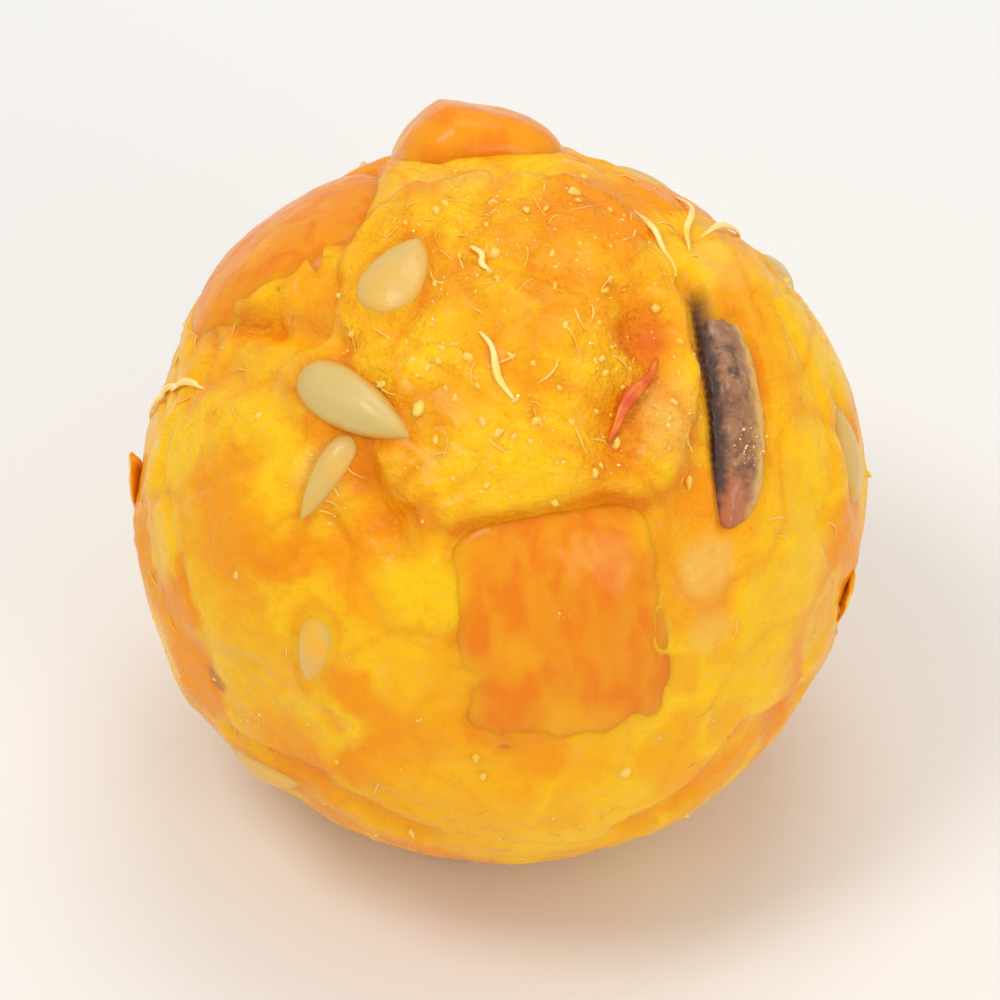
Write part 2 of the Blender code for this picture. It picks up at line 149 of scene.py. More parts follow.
SEED_SIZE = (3.6 * MM, 7.6 * MM)
SEED_DEPTH = 2.2 * MM
SEED_TAPER = 0.38
SEEDS = {
    "upper": dict(at=(-63, 72, 34), scale=(1.25, 0.85), top=1.15 * MM, film=0.48),
    "middle": dict(at=(-39, 52, -92), scale=(0.92, 1.16), top=1.45 * MM, film=0.14),
    "low": dict(at=(-31, 13, 175), scale=(0.80, 0.80), top=0.60 * MM, film=0.88),
    "edge": dict(at=(-44, -23, -66), scale=(0.75, 1.10), top=0.80 * MM, film=0.7),
    "crumb": dict(at=(-38, 40, 172), scale=(0.62, 0.90), top=0.65 * MM, film=0.55),
}
REAR_SEED_COUNT = 6
REAR_SEED_TOP = 0.95 * MM
REAR_SEED_SCALE = (0.9, 0.9)
REAR_SEED_FILM = 0.3

SHRED_RADIUS = 0.34 * MM
SHRED_HALF = 0.68 * SHRED_RADIUS
PEEL_HALF = 1.15 * SHRED_RADIUS
SHREDS = {
    "left_high": dict(path=((-112, 21), (-98, 30)), lift=0.55 * MM),
    "left_fork": dict(path=((-101, 8), (-84, 32)), lift=0.60 * MM),
    "left_low": dict(path=((-92, 24), (-80, 34)), lift=0.50 * MM),
    "right_rim": dict(path=((125, 64), (80, 62)), lift=0.70 * MM),
    "right_post": dict(path=((131, 50), (100, 58)), lift=0.80 * MM),
    "crown_long": dict(path=((-8, 68), (4, 57)), lift=0.35 * MM),
    "crown_short": dict(path=((-40, 83), (-8, 79)), lift=0.35 * MM),
}
PEEL = dict(path=((51, 57), (26, 49)), lift=0.90 * MM)
REAR_SHRED_COUNT = 6
REAR_SHRED_TURN = 17.0
REAR_SHRED_LIFT = 0.5 * MM
SHRED_SINK = 0.25 * MM

FLAKE_SIZE = (4.2 * MM, 5.4 * MM, 0.9 * MM)
FLAKE_SINK = 0.6 * MM
FLAKES = {
    "left": dict(at=(-92, 1, 2), lift=0.5 * MM),
    "low_right": dict(at=(80, -12, 30), lift=0.2 * MM),
    "rear": dict(at=(176, 30, -20), lift=0.5 * MM),
    "rear_left": dict(at=(-108, -26, 12), lift=0.4 * MM),
}

REAR_LONGITUDES = (78.0, 258.0)
REAR_LATITUDES = (-26.0, 66.0)
REAR_SEED = 5
REAR_TRIES = 400
CLEARANCE = 2.2 * MM
LOWEST_SPOT = -0.78

# How strongly the paste is drawn level with each pressed-in piece, and how far it laps over the piece's rim
PULL = {
    "mango_slab_front": 1.0, "mango_slab_left": 0.70, "mango_slab_top": 0.45, "mango_slab_rear": 0.85,
    "mango_slab_side": 0.75, "date_strip_right": 0.55, "date_strip_rear": 0.70,
}
SLAB_LAP = 0.85 * MM
FIRM_LAP = 0.10 * MM
DATE_LAP = 0.25 * MM
DATE_WANDER = 0.12 * MM
RAGGED_FAR = 1.9 * MM
RAGGED_NEAR = 0.8 * MM
PROUD = 0.05 * MM

# The paste's edge there: how far off it is drawn level, its lip's slope, the height and width of the painted
# shade at its lip, and its seam of painted shade
HELD_SHOULDER = 0.86
PULL_REACH = 2.4 * MM
SEED_REACH = 1.3 * MM
LIP_SLOPE = 1.4
THINNING = 0.9
LIP_HEIGHT = 0.6 * MM
LIP_WIDTH = 0.35 * MM
SEAM_WIDTH = 0.30 * MM
SEED_SEAM_WIDTH = 0.28 * MM

# Mesh fineness: cells along one side of the cube that each rounded piece grows from
PASTE_CELLS = 128
SLAB_CELLS = 56
DATE_CELLS = 44
SEED_CELLS = 16
FLAKE_CELLS = 12
CRUMB_CELLS = 3
FIBRE_KNOTS = 7
SHRED_KNOTS = 16
PEEL_KNOTS = 22
FIBRE_HALF = (0.35 * MM, 1.25 * MM)

# Each kind of small piece has its own seeded draw
SHRED_DRAW = 41
FIBRE_DRAW = 73
CRUMB_DRAW = 97

# Areas of the skin where one filling lies near the surface: place, radius in mm, colour and strength
PATCHES = {
    "left_orange": ((-51, 23), 3.6, "orange", 0.85),
    "left_edge_orange": ((-82, 7), 3.8, "orange", 0.70),
    "low_left_amber": ((-36, -10), 3.4, "orange", 0.80),
    "low_mid_orange": ((-15, 11), 2.6, "amber", 0.60),
    "chin_orange": ((12, -2), 3.0, "orange", 0.45),
    "right_orange_low": ((55, -20), 3.0, "orange", 0.40),
    "right_side_amber": ((68, -8), 3.4, "amber", 0.60),
    "crown_amber": ((50, 76), 3.6, "amber", 0.90),
    "amber_by_seed": ((-45, 66), 2.4, "amber", 0.80),
    "face_yellow": ((-14, 29), 3.6, "yellow", 1.0),
    "crown_low_yellow": ((4, 49), 4.0, "yellow", 0.90),
    "right_bright": ((59, 17), 4.2, "yellow", 1.0),
    "right_low": ((48, 7), 2.8, "yellow", 0.60),
    "right_lobe": ((100, 30), 6.0, "yellow", 1.0),
    "mid_left_yellow": ((-64, 42), 3.0, "yellow", 0.80),
    "left_yellow": ((-80, 28), 2.6, "yellow", 0.60),
    "left_low_yellow": ((-42, 6), 3.0, "yellow", 0.40),
    "chin_yellow": ((-3, -9), 4.0, "yellow", 0.35),
    "right_lobe_top": ((122, 32), 2.4, "yellow", 0.60),
    "peach_top_right": ((100, 52), 2.4, "milk", 0.40),
    "crown_back": ((-150, 75), 3.2, "milk", 0.50),
    "pale_patch": ((38, 24), 2.3, "milk", 0.80),
    "pale_patch_low": ((36, 14), 1.8, "milk", 0.55),
    "crown_tan": ((28, 64), 3.0, "yellow", 0.70),
    "crown_right_tan": ((41, 49), 2.8, "milk", 0.70),
    "left_shreds": ((-94, 40), 2.8, "milk", 0.55),
    "crumb_by_seed": ((-39, 40), 2.0, "milk", 0.60),
    "chin_tan": ((16, -22), 2.8, "yellow", 0.70),
    "rear_milk": ((-170, -14), 3.4, "milk", 0.60),
    "rear_yellow": ((146, 28), 4.6, "yellow", 0.80),
    "rear_orange": ((-150, 2), 3.6, "orange", 0.70),
    "nape_yellow": ((-142, 22), 4.2, "yellow", 0.70),
    "rear_amber": ((118, 2), 3.8, "orange", 0.60),
    "front_low_amber": ((-8, -14), 5.5, "amber", 0.85),
    "crown_top_yellow": ((-30, 72), 3.4, "yellow", 0.60),
    "brown_spot": ((-52, -6), 1.0, "scorched", 0.80),
    "red_pit": ((52, 61), 1.9, "peel", 1.0),
    "pit_foot": ((28, 49), 0.9, "peel", 0.60),
}

# How far the paste's patches are stirred out of round: the loose ones, and the placed ones above
STIR_FAR = 5.0 * MM
STIR_NEAR = 2.4 * MM

# Where fibres and sugar gather: middle as longitude and latitude, spread in mm, and count
FIBRE_GROUPS = {
    "pole": ((-60, 86), 2.6, 8),
    "crown_front": ((4, 58), 2.4, 4),
    "by_left_slab": ((-97, 33), 1.8, 12),
    "by_crumb_seed": ((-38, 38), 1.1, 7),
    "right_rim": ((112, 60), 1.6, 6),
    "rear": ((150, 34), 2.2, 9),
}
SUGAR_GROUPS = {
    "date_end": ((57, 36), 0.8, 30),
    "front_slab": ((11, 24), 0.25, 4),
    "pole": ((-60, 86), 1.9, 26),
    "crown_right": ((45, 79), 1.2, 7),
    "low_left": ((-44, -9), 0.7, 8),
    "peel_pit": ((42, 58), 1.0, 8),
    "by_crumb_seed": ((-38, 38), 1.2, 14),
    "rear": ((-164, 24), 1.6, 24),
}


def linear(hex_code):
    """An sRGB hex colour as linear RGBA."""
    parts = [int(hex_code[at:at + 2], 16) / 255.0 for at in (1, 3, 5)]
    return (*(p / 12.92 if p <= 0.04045 else ((p + 0.055) / 1.055) ** 2.4 for p in parts), 1.0)


def colour_setting(name, hex_code, description):
    return bpy.props.FloatVectorProperty(
        name=name, description=description, default=linear(hex_code), size=4, min=0.0, max=1.0,
        subtype="COLOR")


def size_setting(name, default, description):
    return bpy.props.FloatProperty(
        name=name, description=description, default=default, min=0.0, precision=5, unit="LENGTH")


def count_setting(name, default, description):
    return bpy.props.IntProperty(name=name, description=description, default=default, min=0)


class LadooSizes(bpy.types.PropertyGroup):
    """Sizes of the skin and of the small things on it."""

    swell: size_setting("Swell height", 0.45 * MM, "How far the palm's broad swells rise and fall")
    knead: size_setting("Knead height", 0.22 * MM, "How far the kneaded unevenness rises and falls")
    grain: size_setting("Grain height", 0.14 * MM, "Height of the crumbly grains pressed in the skin")
    grain_length: size_setting("Grain width", 2.3 * MM, "Width of one crumbly grain")
    fold: size_setting("Fold depth", 0.10 * MM, "Depth of the fine folds where paste was smeared")
    fibre_radius: size_setting("Pulp fibre radius", 0.046 * MM, "Half the thickness of a mango pulp fibre")
    crumb_size: size_setting("Milk crumb size", 0.46 * MM, "Width of the usual crumb of milk solids")
    glint_size: size_setting("Sugar crystal size", 0.17 * MM, "Width of the usual sugar crystal")
    fibre_count: count_setting("Pulp fibres", 110, "How many stray fibres of pulp lie on the skin")
    crumb_count: count_setting("Milk crumbs", 300, "How many milk crumbs stand out of the skin")
    glint_count: count_setting("Sugar crystals", 110, "How many stray sugar crystals cling to the skin")


class LadooColours(bpy.types.PropertyGroup):
    """Colours of the fillings, as linear values of sRGB hex colours."""

    amber: colour_setting("Amber paste", "#fab311", "The paste's usual colour")
    yellow: colour_setting("Yellow paste", "#fec814", "Where ripe pulp shows")
    orange: colour_setting("Orange paste", "#f89a08", "Where candied fruit lies under the skin")
    milk: colour_setting("Milky paste", "#f6c05c", "Where milk solids show")
    scorched: colour_setting("Scorched speck", "#b4560c", "A browned speck of milk solids")
    # Painted shade: this colour darkens the paste in folds, grain cracks, slits, seams round pressed-in
    # pieces and under the crown's ledge
    crease: colour_setting("Crease", "#ea8306", "Syrup that gathers in creases")
    slab: colour_setting("Candied mango", "#ef9314", "The slabs' upper face")
    slab_deep: colour_setting("Candied mango, deep", "#ee7e0c", "The slabs' fibres and edges")
    seed: colour_setting("Seed kernel", "#d3b872", "The melon seed kernel's face")
    seed_edge: colour_setting("Seed kernel edge", "#d9a23e", "Where syrup stains the kernel's rim")
    shred: colour_setting("Mango shred", "#ffe590", "Thin strips of mango, pale where they dry")
    peel: colour_setting("Mango peel", "#dd541c", "A strand of peel and the pit beside it")
    date: colour_setting("Date flesh", "#9d6841", "The cut face of the date")
    # Also painted shade and shadow: the date's left side and the slit beside the date take this colour
    date_skin_and_shade: colour_setting("Date skin", "#3c1c18", "The date's wrinkles and skin")
    bloom: colour_setting("Sugar bloom", "#b98e5c", "Sugar that dries on the date")
    plum: colour_setting("Date stain", "#c46e3e", "The date's reddish low end")
    crumb: colour_setting("Milk crumb", "#fbcf62", "A crumb of milk solids")
    sugar: colour_setting("Sugar", "#fff8dc", "A clear sugar crystal that takes on the paste's yellow")
    floor: colour_setting("Floor", "#eeedea", "The pale floor")


def smooth_step(value):
    value = np.clip(value, 0.0, 1.0)
    return value * value * (3.0 - 2.0 * value)


def direction(longitude, latitude):
    """The unit vector from the ball's centre to a place on it."""
    lon, lat = math.radians(longitude), math.radians(latitude)
    return np.array((math.sin(lon) * math.cos(lat), -math.cos(lon) * math.cos(lat), math.sin(lat)))


def frame_at(longitude, latitude, turn=0.0):
    """Rows across, along and out: a frame that touches the ball, turned about its outward axis."""
    out = direction(longitude, latitude)
    lon, spin = math.radians(longitude), math.radians(turn)
    east = np.array((math.cos(lon), math.sin(lon), 0.0))
    north = np.cross(out, east)
    across = east * math.cos(spin) + north * math.sin(spin)
    along = north * math.cos(spin) - east * math.sin(spin)
    return np.array((across, along, out))


def flattened(axes, directions):
    """Each direction as distances across and along the ball from the frame's middle."""
    parts = directions @ axes.T
    angle = np.arccos(np.clip(parts[:, 2], -1.0, 1.0))
    side = np.maximum(np.hypot(parts[:, 0], parts[:, 1]), 1e-9)
    return parts[:, :2] / side[:, None] * (angle * BALL_RADIUS)[:, None]


def wrapped(axes, across, along):
    """The unit direction at these distances over the ball from the frame's middle."""
    reach = np.maximum(np.hypot(across, along), 1e-9)
    angle = reach / BALL_RADIUS
    side = (across / reach)[:, None] * axes[0] + (along / reach)[:, None] * axes[1]
    return np.cos(angle)[:, None] * axes[2] + np.sin(angle)[:, None] * side


def noise_at(points, length, offset=0.0):
    """Smooth noise from -1 to 1 whose features are about length across."""
    shift = Vector((offset, -offset, 0.5 * offset))
    return np.array([noise.noise(Vector(p / length) + shift) for p in points])


def grains_at(points, length, offset=0.0):
    """Rounded grains about length across: 0 on a grain's top, down to -1 in the cracks between."""
    shift = Vector((offset, offset, -offset))
    found = np.array([noise.voronoi(Vector(p / length) + shift)[0][:2] for p in points])
    margin = found[:, 1] - found[:, 0]
    return smooth_step(margin / 0.45) - 1.0


def path_points(path, step=0.6 * MM):
    """Unit directions along the great arcs that join the path's places."""
    places = [Vector(direction(*place)) for place in path]
    found = []
    for start, end in zip(places, places[1:]):
        count = max(2, math.ceil(start.angle(end) * BALL_RADIUS / step))
        found += [start.slerp(end, index / count) for index in range(count)]
    return np.array(found + [places[-1]])


def chunk_centres():
    """Middles of the lumps of paste, spread over the ball on a jittered spiral."""
    draw = random.Random(CHUNK_SEED)
    golden = math.pi * (3.0 - math.sqrt(5.0))
    centres = []
    for index in range(CHUNK_COUNT):
        height = 1.0 - 2.0 * (index + 0.5) / CHUNK_COUNT
        turn = golden * index + draw.uniform(-0.35, 0.35)
        ring = math.sqrt(1.0 - height * height)
        place = Vector((ring * math.cos(turn), ring * math.sin(turn), height + draw.uniform(-0.09, 0.09)))
        centres.append(place.normalized())
    return np.array(centres)


def chunk_relief(directions):
    """Each lump of paste sits a little higher or lower, with a crease where two meet."""
    distances = np.arccos(np.clip(directions @ chunk_centres().T, -1.0, 1.0)) * BALL_RADIUS
    nearest = np.argsort(distances, axis=1)[:, :2]
    rows = np.arange(len(directions))
    margin = distances[rows, nearest[:, 1]] - distances[rows, nearest[:, 0]]
    draw = random.Random(CHUNK_SEED + 1)
    steps = np.array([draw.uniform(-1.0, 1.0) for _ in range(CHUNK_COUNT)]) * CHUNK_STEP
    share = 0.5 + 0.5 * smooth_step(margin / (2.0 * CREASE_WIDTH))
    level = steps[nearest[:, 0]] * share + steps[nearest[:, 1]] * (1.0 - share)
    crease = 1.0 - smooth_step(margin / CREASE_WIDTH)
    top = 0.35 + 0.65 * smooth_step((directions[:, 2] + 0.1) / 0.8)
    return level - CREASE_DEPTH * crease * top


def outline_size(flat, half, power):
    """How far out each place is in a soft-cornered outline: 0 at its middle, 1 on the outline."""
    return (np.abs(flat / np.array(half)) ** power).sum(axis=1) ** (1.0 / power)


def lump_share(lump, directions, wander=0.0):
    """1 on a lump, 0 off it, and between the two across its edge."""
    size = outline_size(flattened(frame_at(*lump["at"]), directions), lump["half"], lump["power"])
    return smooth_step((1.0 + 0.5 * lump["edge"] - size + wander) / lump["edge"])


def slit_share(slit, directions):
    """1 in the middle of a slit, down to 0 at its width."""
    nearest = (directions @ path_points(slit["path"]).T).max(axis=1)
    distance = np.arccos(np.clip(nearest, -1.0, 1.0)) * BALL_RADIUS
    return smooth_step(1.0 - distance / slit["width"])


def calm_share(directions):
    """1 on the visible ball, falling to 0 at its resting spot."""
    latitude = np.degrees(np.arcsin(np.clip(directions[:, 2], -1.0, 1.0)))
    return smooth_step((latitude - CALM_LATITUDE + CALM_SPAN) / CALM_SPAN)


def ball_relief(directions, wander=0.0):
    """How far the skin stands above the bare ball, calming down to nothing at the flat spot."""
    sizes = bpy.context.scene.ladoo_sizes
    points = directions * BALL_RADIUS
    total = sizes.swell * noise_at(points, SWELL_LENGTH, 3.1)
    total += sizes.knead * noise_at(points, KNEAD_LENGTH, 7.7)
    total += chunk_relief(directions)
    for lump in LUMPS.values():
        total += lump["height"] * lump_share(lump, directions, wander)
    for slit in SLITS.values():
        total -= slit["depth"] * slit_share(slit, directions)
    return total * calm_share(directions)


def ball_grid(cells):
    """Directions and quads of a sphere grown from a cube with this many cells along each side."""
    steps = np.tan(np.linspace(-1.0, 1.0, cells + 1) * math.pi / 4)
    across, along = np.meshgrid(steps, steps, indexing="ij")
    corner = np.arange(across.size).reshape(across.shape)
    around = (corner[:-1, :-1], corner[1:, :-1], corner[1:, 1:], corner[:-1, 1:])
    quads = np.stack(around, axis=-1).reshape(-1, 4)
    points, faces = [], []
    for axis in range(3):
        for sign in (1.0, -1.0):
            side = [None] * 3
            side[axis] = np.full_like(across, sign)
            side[(axis + 1) % 3] = sign * across
            side[(axis + 2) % 3] = along
            faces.append(quads + len(points) * corner.size)
            points.append(np.stack(side, axis=-1).reshape(-1, 3))
    points, faces = np.concatenate(points), np.concatenate(faces)
    _, first, back = np.unique(np.round(points, 6), axis=0, return_index=True, return_inverse=True)
    points = points[first]
    return points / np.linalg.norm(points, axis=1)[:, None], back.reshape(-1)[faces]


def joined(parts):
    """One list of points and one of faces from many."""
    points, faces, count = [], [], 0
    for some_points, some_faces in parts:
        points.append(np.asarray(some_points))
        faces += [tuple(int(corner) + count for corner in face) for face in some_faces]
        count += len(some_points)
    return np.concatenate(points), faces


def mesh_piece(name, points, faces, material, stands_for, smooth=True):
    """A shown piece on the root body, standing for the named nodes."""
    data = bpy.data.meshes.new(name)
    places = [tuple(map(float, point)) for point in points]
    data.from_pydata(places, [], [tuple(map(int, face)) for face in faces])
    data.update()
    data.materials.append(material)
    if smooth:
        data.shade_smooth()
    piece = bpy.data.objects.new(name, data)
    bpy.context.scene.collection.objects.link(piece)
    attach(piece, "root")
    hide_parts(*stands_for)
    return piece


def mark(piece, name, values):
    """Keeps one number for each point of a piece, for its material to read."""
    layer = piece.data.attributes.new(name, "FLOAT", "POINT")
    layer.data.foreach_set("value", np.asarray(values, np.float32))


def add(tree, kind, inputs=None, **settings):
    """Adds a node, with its settings, and its inputs as values or as links."""
    node = tree.nodes.new(kind)
    for name, value in settings.items():
        setattr(node, name, value)
    for key, value in (inputs or {}).items():
        if isinstance(value, bpy.types.NodeSocket):
            tree.links.new(value, node.inputs[key])
        else:
            node.inputs[key].default_value = value
    return node


def start_material(name):
    """An empty material with its tree and the object's own coordinates."""
    material = bpy.data.materials.new(name)
    material.use_nodes = True
    tree = material.node_tree
    tree.nodes.clear()
    place = add(tree, "ShaderNodeTexCoord").outputs["Object"]
    return material, tree, place


def end_material(tree, inputs, height, depth):
    """The surface, with its bump of the given depth in metres."""
    bump = add(tree, "ShaderNodeBump", {"Strength": 1.0, "Distance": depth, "Height": height})
    surface = add(tree, "ShaderNodeBsdfPrincipled", {**inputs, "Normal": bump.outputs["Normal"]},
                  subsurface_method="BURLEY")
    add(tree, "ShaderNodeOutputMaterial", {"Surface": surface.outputs["BSDF"]})


def set_stops(node, stops):
    """Gives a colour ramp its places and colours."""
    ramp = node.color_ramp
    while len(ramp.elements) < len(stops):
        ramp.elements.new(0.5)
    for element, (place, colour) in zip(ramp.elements, stops):
        element.position = place
        element.color = colour


def per_metre(size):
    """The texture scale whose features are this many metres across."""
    return 1.0 / size


def stirred_places(tree, place):
    """The piece's coordinates pushed about by slow noise: far for loose patches, less for the placed ones."""
    stir = add(tree, "ShaderNodeTexNoise", {
        "Vector": place, "Scale": per_metre(5.0 * MM), "Detail": 3.0, "Roughness": 0.65})
    centred = add(tree, "ShaderNodeVectorMath", {
        0: stir.outputs["Color"], 1: (0.5, 0.5, 0.5)}, operation="SUBTRACT").outputs[0]
    found = []
    for reach in (STIR_FAR, STIR_NEAR):
        pushed = add(tree, "ShaderNodeVectorMath", {0: centred, "Scale": reach}, operation="SCALE")
        found.append(add(tree, "ShaderNodeVectorMath", {0: place, 1: pushed.outputs[0]}).outputs[0])
    return found


def filling_layers(tree, near, colours):
    """Each placed patch as its soft-edged share and its colour."""
    layers = []
    for (longitude, latitude), radius, filling, strength in PATCHES.values():
        middle = BALL_CENTRE + direction(longitude, latitude) * BALL_RADIUS
        away = add(tree, "ShaderNodeVectorMath", {0: near, 1: tuple(middle)}, operation="DISTANCE")
        share = add(tree, "ShaderNodeMapRange", {
            "Value": away.outputs["Value"], "From Min": 1.25 * radius * MM, "From Max": 0.45 * radius * MM,
            "To Min": 0.0, "To Max": strength}, interpolation_type="SMOOTHSTEP")
        layers.append((share.outputs["Result"], getattr(colours, filling)))
    return layers


def paste_material(colours):
    """Mango and milk paste, kneaded by hand: moist, soft-edged patches that glow where pulp is thin."""
    material, tree, place = start_material("kneaded_mango_milk_paste")
    stirred, near = stirred_places(tree, place)
    crease, shadow_and_stain, grainy = (
        add(tree, "ShaderNodeAttribute", attribute_name=name).outputs["Fac"]
        for name in ("crease", "shadow_and_stain", "grainy"))

    blobs = add(tree, "ShaderNodeTexVoronoi", {
        "Vector": stirred, "Scale": per_metre(4.6 * MM), "Smoothness": 0.7}, feature="SMOOTH_F1")
    split = add(tree, "ShaderNodeSeparateColor", {"Color": blobs.outputs["Color"]})
    tone = add(tree, "ShaderNodeValToRGB", {"Fac": split.outputs["Red"]})
    set_stops(tone, [
        (0.15, colours.orange), (0.34, colours.amber), (0.60, colours.yellow), (0.85, colours.amber)])

    mottle = add(tree, "ShaderNodeTexNoise", {
        "Vector": place, "Scale": per_metre(1.3 * MM), "Detail": 3.0, "Roughness": 0.65}).outputs["Fac"]
    flecks = add(tree, "ShaderNodeMapRange", {
        "Value": mottle, "From Min": 0.56, "From Max": 0.74, "To Min": 0.0, "To Max": 0.32})
    stains = add(tree, "ShaderNodeMapRange", {
        "Value": mottle, "From Min": 0.46, "From Max": 0.30, "To Min": 0.0, "To Max": 0.32})
    # Painted shade: the crease layer darkens creases, seams and ledges
    layers = [*filling_layers(tree, near, colours), (flecks.outputs["Result"], colours.milk),
              (stains.outputs["Result"], colours.orange), (crease, colours.crease),
              (shadow_and_stain, colours.date_skin_and_shade)]
    # Painted shadow: the last layer darkens the slit beside the date with the date's dark colour
    shade = tone.outputs["Color"]
    for share, colour in layers:
        shade = add(tree, "ShaderNodeMix", {0: share, 6: shade, 7: colour}, data_type="RGBA").outputs[2]

    # Fine grit of milk solids, about 0.35 mm, and softer dimples of 1 mm
    grit = add(tree, "ShaderNodeTexNoise", {
        "Vector": place, "Scale": per_metre(0.36 * MM), "Detail": 1.5, "Roughness": 0.6})
    dimples = add(tree, "ShaderNodeTexNoise", {"Vector": place, "Scale": per_metre(1.1 * MM), "Detail": 1.0})
    share = add(tree, "ShaderNodeMapRange", {"Value": grainy, "To Min": 0.35, "To Max": 1.7})
    raised = add(tree, "ShaderNodeMath", {
        0: grit.outputs["Fac"], 1: share.outputs["Result"]}, operation="MULTIPLY")
    height = add(tree, "ShaderNodeMath", {
        0: dimples.outputs["Fac"], 1: 1.4, 2: raised.outputs[0]}, operation="MULTIPLY_ADD")
    rough = add(tree, "ShaderNodeMapRange", {
        "Value": mottle, "From Min": 0.35, "From Max": 0.65, "To Min": 0.26, "To Max": 0.50})
    end_material(tree, {
        "Base Color": shade, "Roughness": rough.outputs["Result"], "IOR": 1.45, "Subsurface Weight": 0.40,
        "Subsurface Radius": (1.0, 0.42, 0.10), "Subsurface Scale": 1.2 * MM, "Specular IOR Level": 0.10,
        "Coat Weight": 0.22, "Coat Roughness": 0.10, "Coat IOR": 1.4}, height.outputs[0], 0.20 * MM)
    return material


def slab_material(colours):
    """Candied mango, cut and steeped in syrup: glassy, with fibres that run down the slab."""
    material, tree, place = start_material("candied_mango_flesh")
    stretched = add(tree, "ShaderNodeMapping", {"Vector": place, "Scale": (1.0, 1.0, 0.35)})
    streaks = add(tree, "ShaderNodeTexNoise", {
        "Vector": stretched.outputs[0], "Scale": per_metre(1.5 * MM), "Detail": 4.0, "Distortion": 0.6})
    cloud = add(tree, "ShaderNodeTexNoise", {"Vector": place, "Scale": per_metre(5.0 * MM), "Detail": 2.0})
    depth = add(tree, "ShaderNodeMapRange", {
        "Value": streaks.outputs["Fac"], "From Min": 0.38, "From Max": 0.58, "To Min": 0.95, "To Max": 0.0})
    pale = add(tree, "ShaderNodeMapRange", {
        "Value": cloud.outputs["Fac"], "From Min": 0.52, "From Max": 0.72, "To Min": 0.0, "To Max": 0.55})
    paler, film = (
        add(tree, "ShaderNodeAttribute", attribute_name=name).outputs["Fac"] for name in ("paler", "film"))
    layers = [(depth.outputs["Result"], colours.slab_deep), (pale.outputs["Result"], colours.amber),
              (paler, colours.amber), (film, colours.amber)]
    shade = colours.slab
    for share, colour in layers:
        shade = add(tree, "ShaderNodeMix", {0: share, 6: shade, 7: colour}, data_type="RGBA").outputs[2]
    fine = add(tree, "ShaderNodeTexNoise", {
        "Vector": stretched.outputs[0], "Scale": per_metre(0.55 * MM), "Detail": 3.0})
    height = add(tree, "ShaderNodeMath", {0: streaks.outputs["Fac"], 1: fine.outputs["Fac"]}, operation="ADD")
    end_material(tree, {
        "Base Color": shade, "Roughness": 0.30, "IOR": 1.48, "Subsurface Weight": 0.55,
        "Subsurface Radius": (1.0, 0.38, 0.08), "Subsurface Scale": 1.6 * MM, "Specular IOR Level": 0.10,
        "Coat Weight": 0.24, "Coat Roughness": 0.09, "Coat IOR": 1.45}, height.outputs[0], 0.10 * MM)
    return material


def date_material(colours):
    """Date flesh, sliced: dark and sticky, with fine wrinkles, a bloom of dried sugar and painted shade on
    its left side.
    """
    material, tree, place = start_material("sliced_date_flesh")
    wrinkles = add(tree, "ShaderNodeTexNoise", {
        "Vector": place, "Scale": per_metre(1.4 * MM), "Detail": 5.0, "Distortion": 1.2})
    tone = add(tree, "ShaderNodeValToRGB", {"Fac": wrinkles.outputs["Fac"]})
    set_stops(tone, [(0.30, colours.date_skin_and_shade), (0.52, colours.date)])
    dust = add(tree, "ShaderNodeTexNoise", {"Vector": place, "Scale": per_metre(0.5 * MM), "Detail": 4.0})
    bloom = add(tree, "ShaderNodeMapRange", {
        "Value": dust.outputs["Fac"], "From Min": 0.50, "From Max": 0.68, "To Min": 0.0, "To Max": 0.65})
    # Painted shade: the side mark darkens the date's left side, towards the slit, with its skin colour
    low_end, film, side = (
        add(tree, "ShaderNodeAttribute", attribute_name=name).outputs["Fac"]
        for name in ("low_end", "film", "side"))
    layers = [(bloom.outputs["Result"], colours.bloom), (low_end, colours.plum), (film, colours.milk),
              (side, colours.date_skin_and_shade)]
    shade = tone.outputs["Color"]
    for share, colour in layers:
        shade = add(tree, "ShaderNodeMix", {0: share, 6: shade, 7: colour}, data_type="RGBA").outputs[2]
    height = add(tree, "ShaderNodeMath", {
        0: wrinkles.outputs["Fac"], 1: dust.outputs["Fac"]}, operation="ADD")
    end_material(tree, {
        "Base Color": shade, "Roughness": 0.38, "IOR": 1.48, "Subsurface Weight": 0.12,
        "Subsurface Radius": (1.0, 0.35, 0.2), "Subsurface Scale": 0.8 * MM, "Coat Weight": 0.45,
        "Coat Roughness": 0.14, "Coat IOR": 1.45}, height.outputs[0], 0.18 * MM)
    return material


def seed_material(colours):
    """Melon seed kernel, peeled: waxy cream, stained by syrup at its rim."""
    material, tree, place = start_material("peeled_melon_seed_kernel")
    cloud = add(tree, "ShaderNodeTexNoise", {"Vector": place, "Scale": per_metre(1.6 * MM), "Detail": 3.0})
    rim, film = (
        add(tree, "ShaderNodeAttribute", attribute_name=name).outputs["Fac"] for name in ("rim", "film"))
    shadow_and_stain = add(tree, "ShaderNodeMath", {0: cloud.outputs["Fac"], 1: rim}, operation="MULTIPLY")
    stained = add(tree, "ShaderNodeMapRange", {
        "Value": shadow_and_stain.outputs[0], "From Min": 0.10, "From Max": 0.55, "To Min": 0.0, "To Max": 1.0})
    shade = colours.seed
    for share, colour in ((stained.outputs["Result"], colours.seed_edge), (film, colours.amber)):
        shade = add(tree, "ShaderNodeMix", {0: share, 6: shade, 7: colour}, data_type="RGBA").outputs[2]
    fine = add(tree, "ShaderNodeTexNoise", {"Vector": place, "Scale": per_metre(0.5 * MM), "Detail": 2.0})
    end_material(tree, {
        "Base Color": shade, "Roughness": 0.36, "IOR": 1.46, "Subsurface Weight": 0.40,
        "Subsurface Radius": (1.0, 0.7, 0.4), "Subsurface Scale": 0.9 * MM, "Coat Weight": 0.15,
        "Coat Roughness": 0.15, "Coat IOR": 1.4}, fine.outputs["Fac"], 0.05 * MM)
    return material


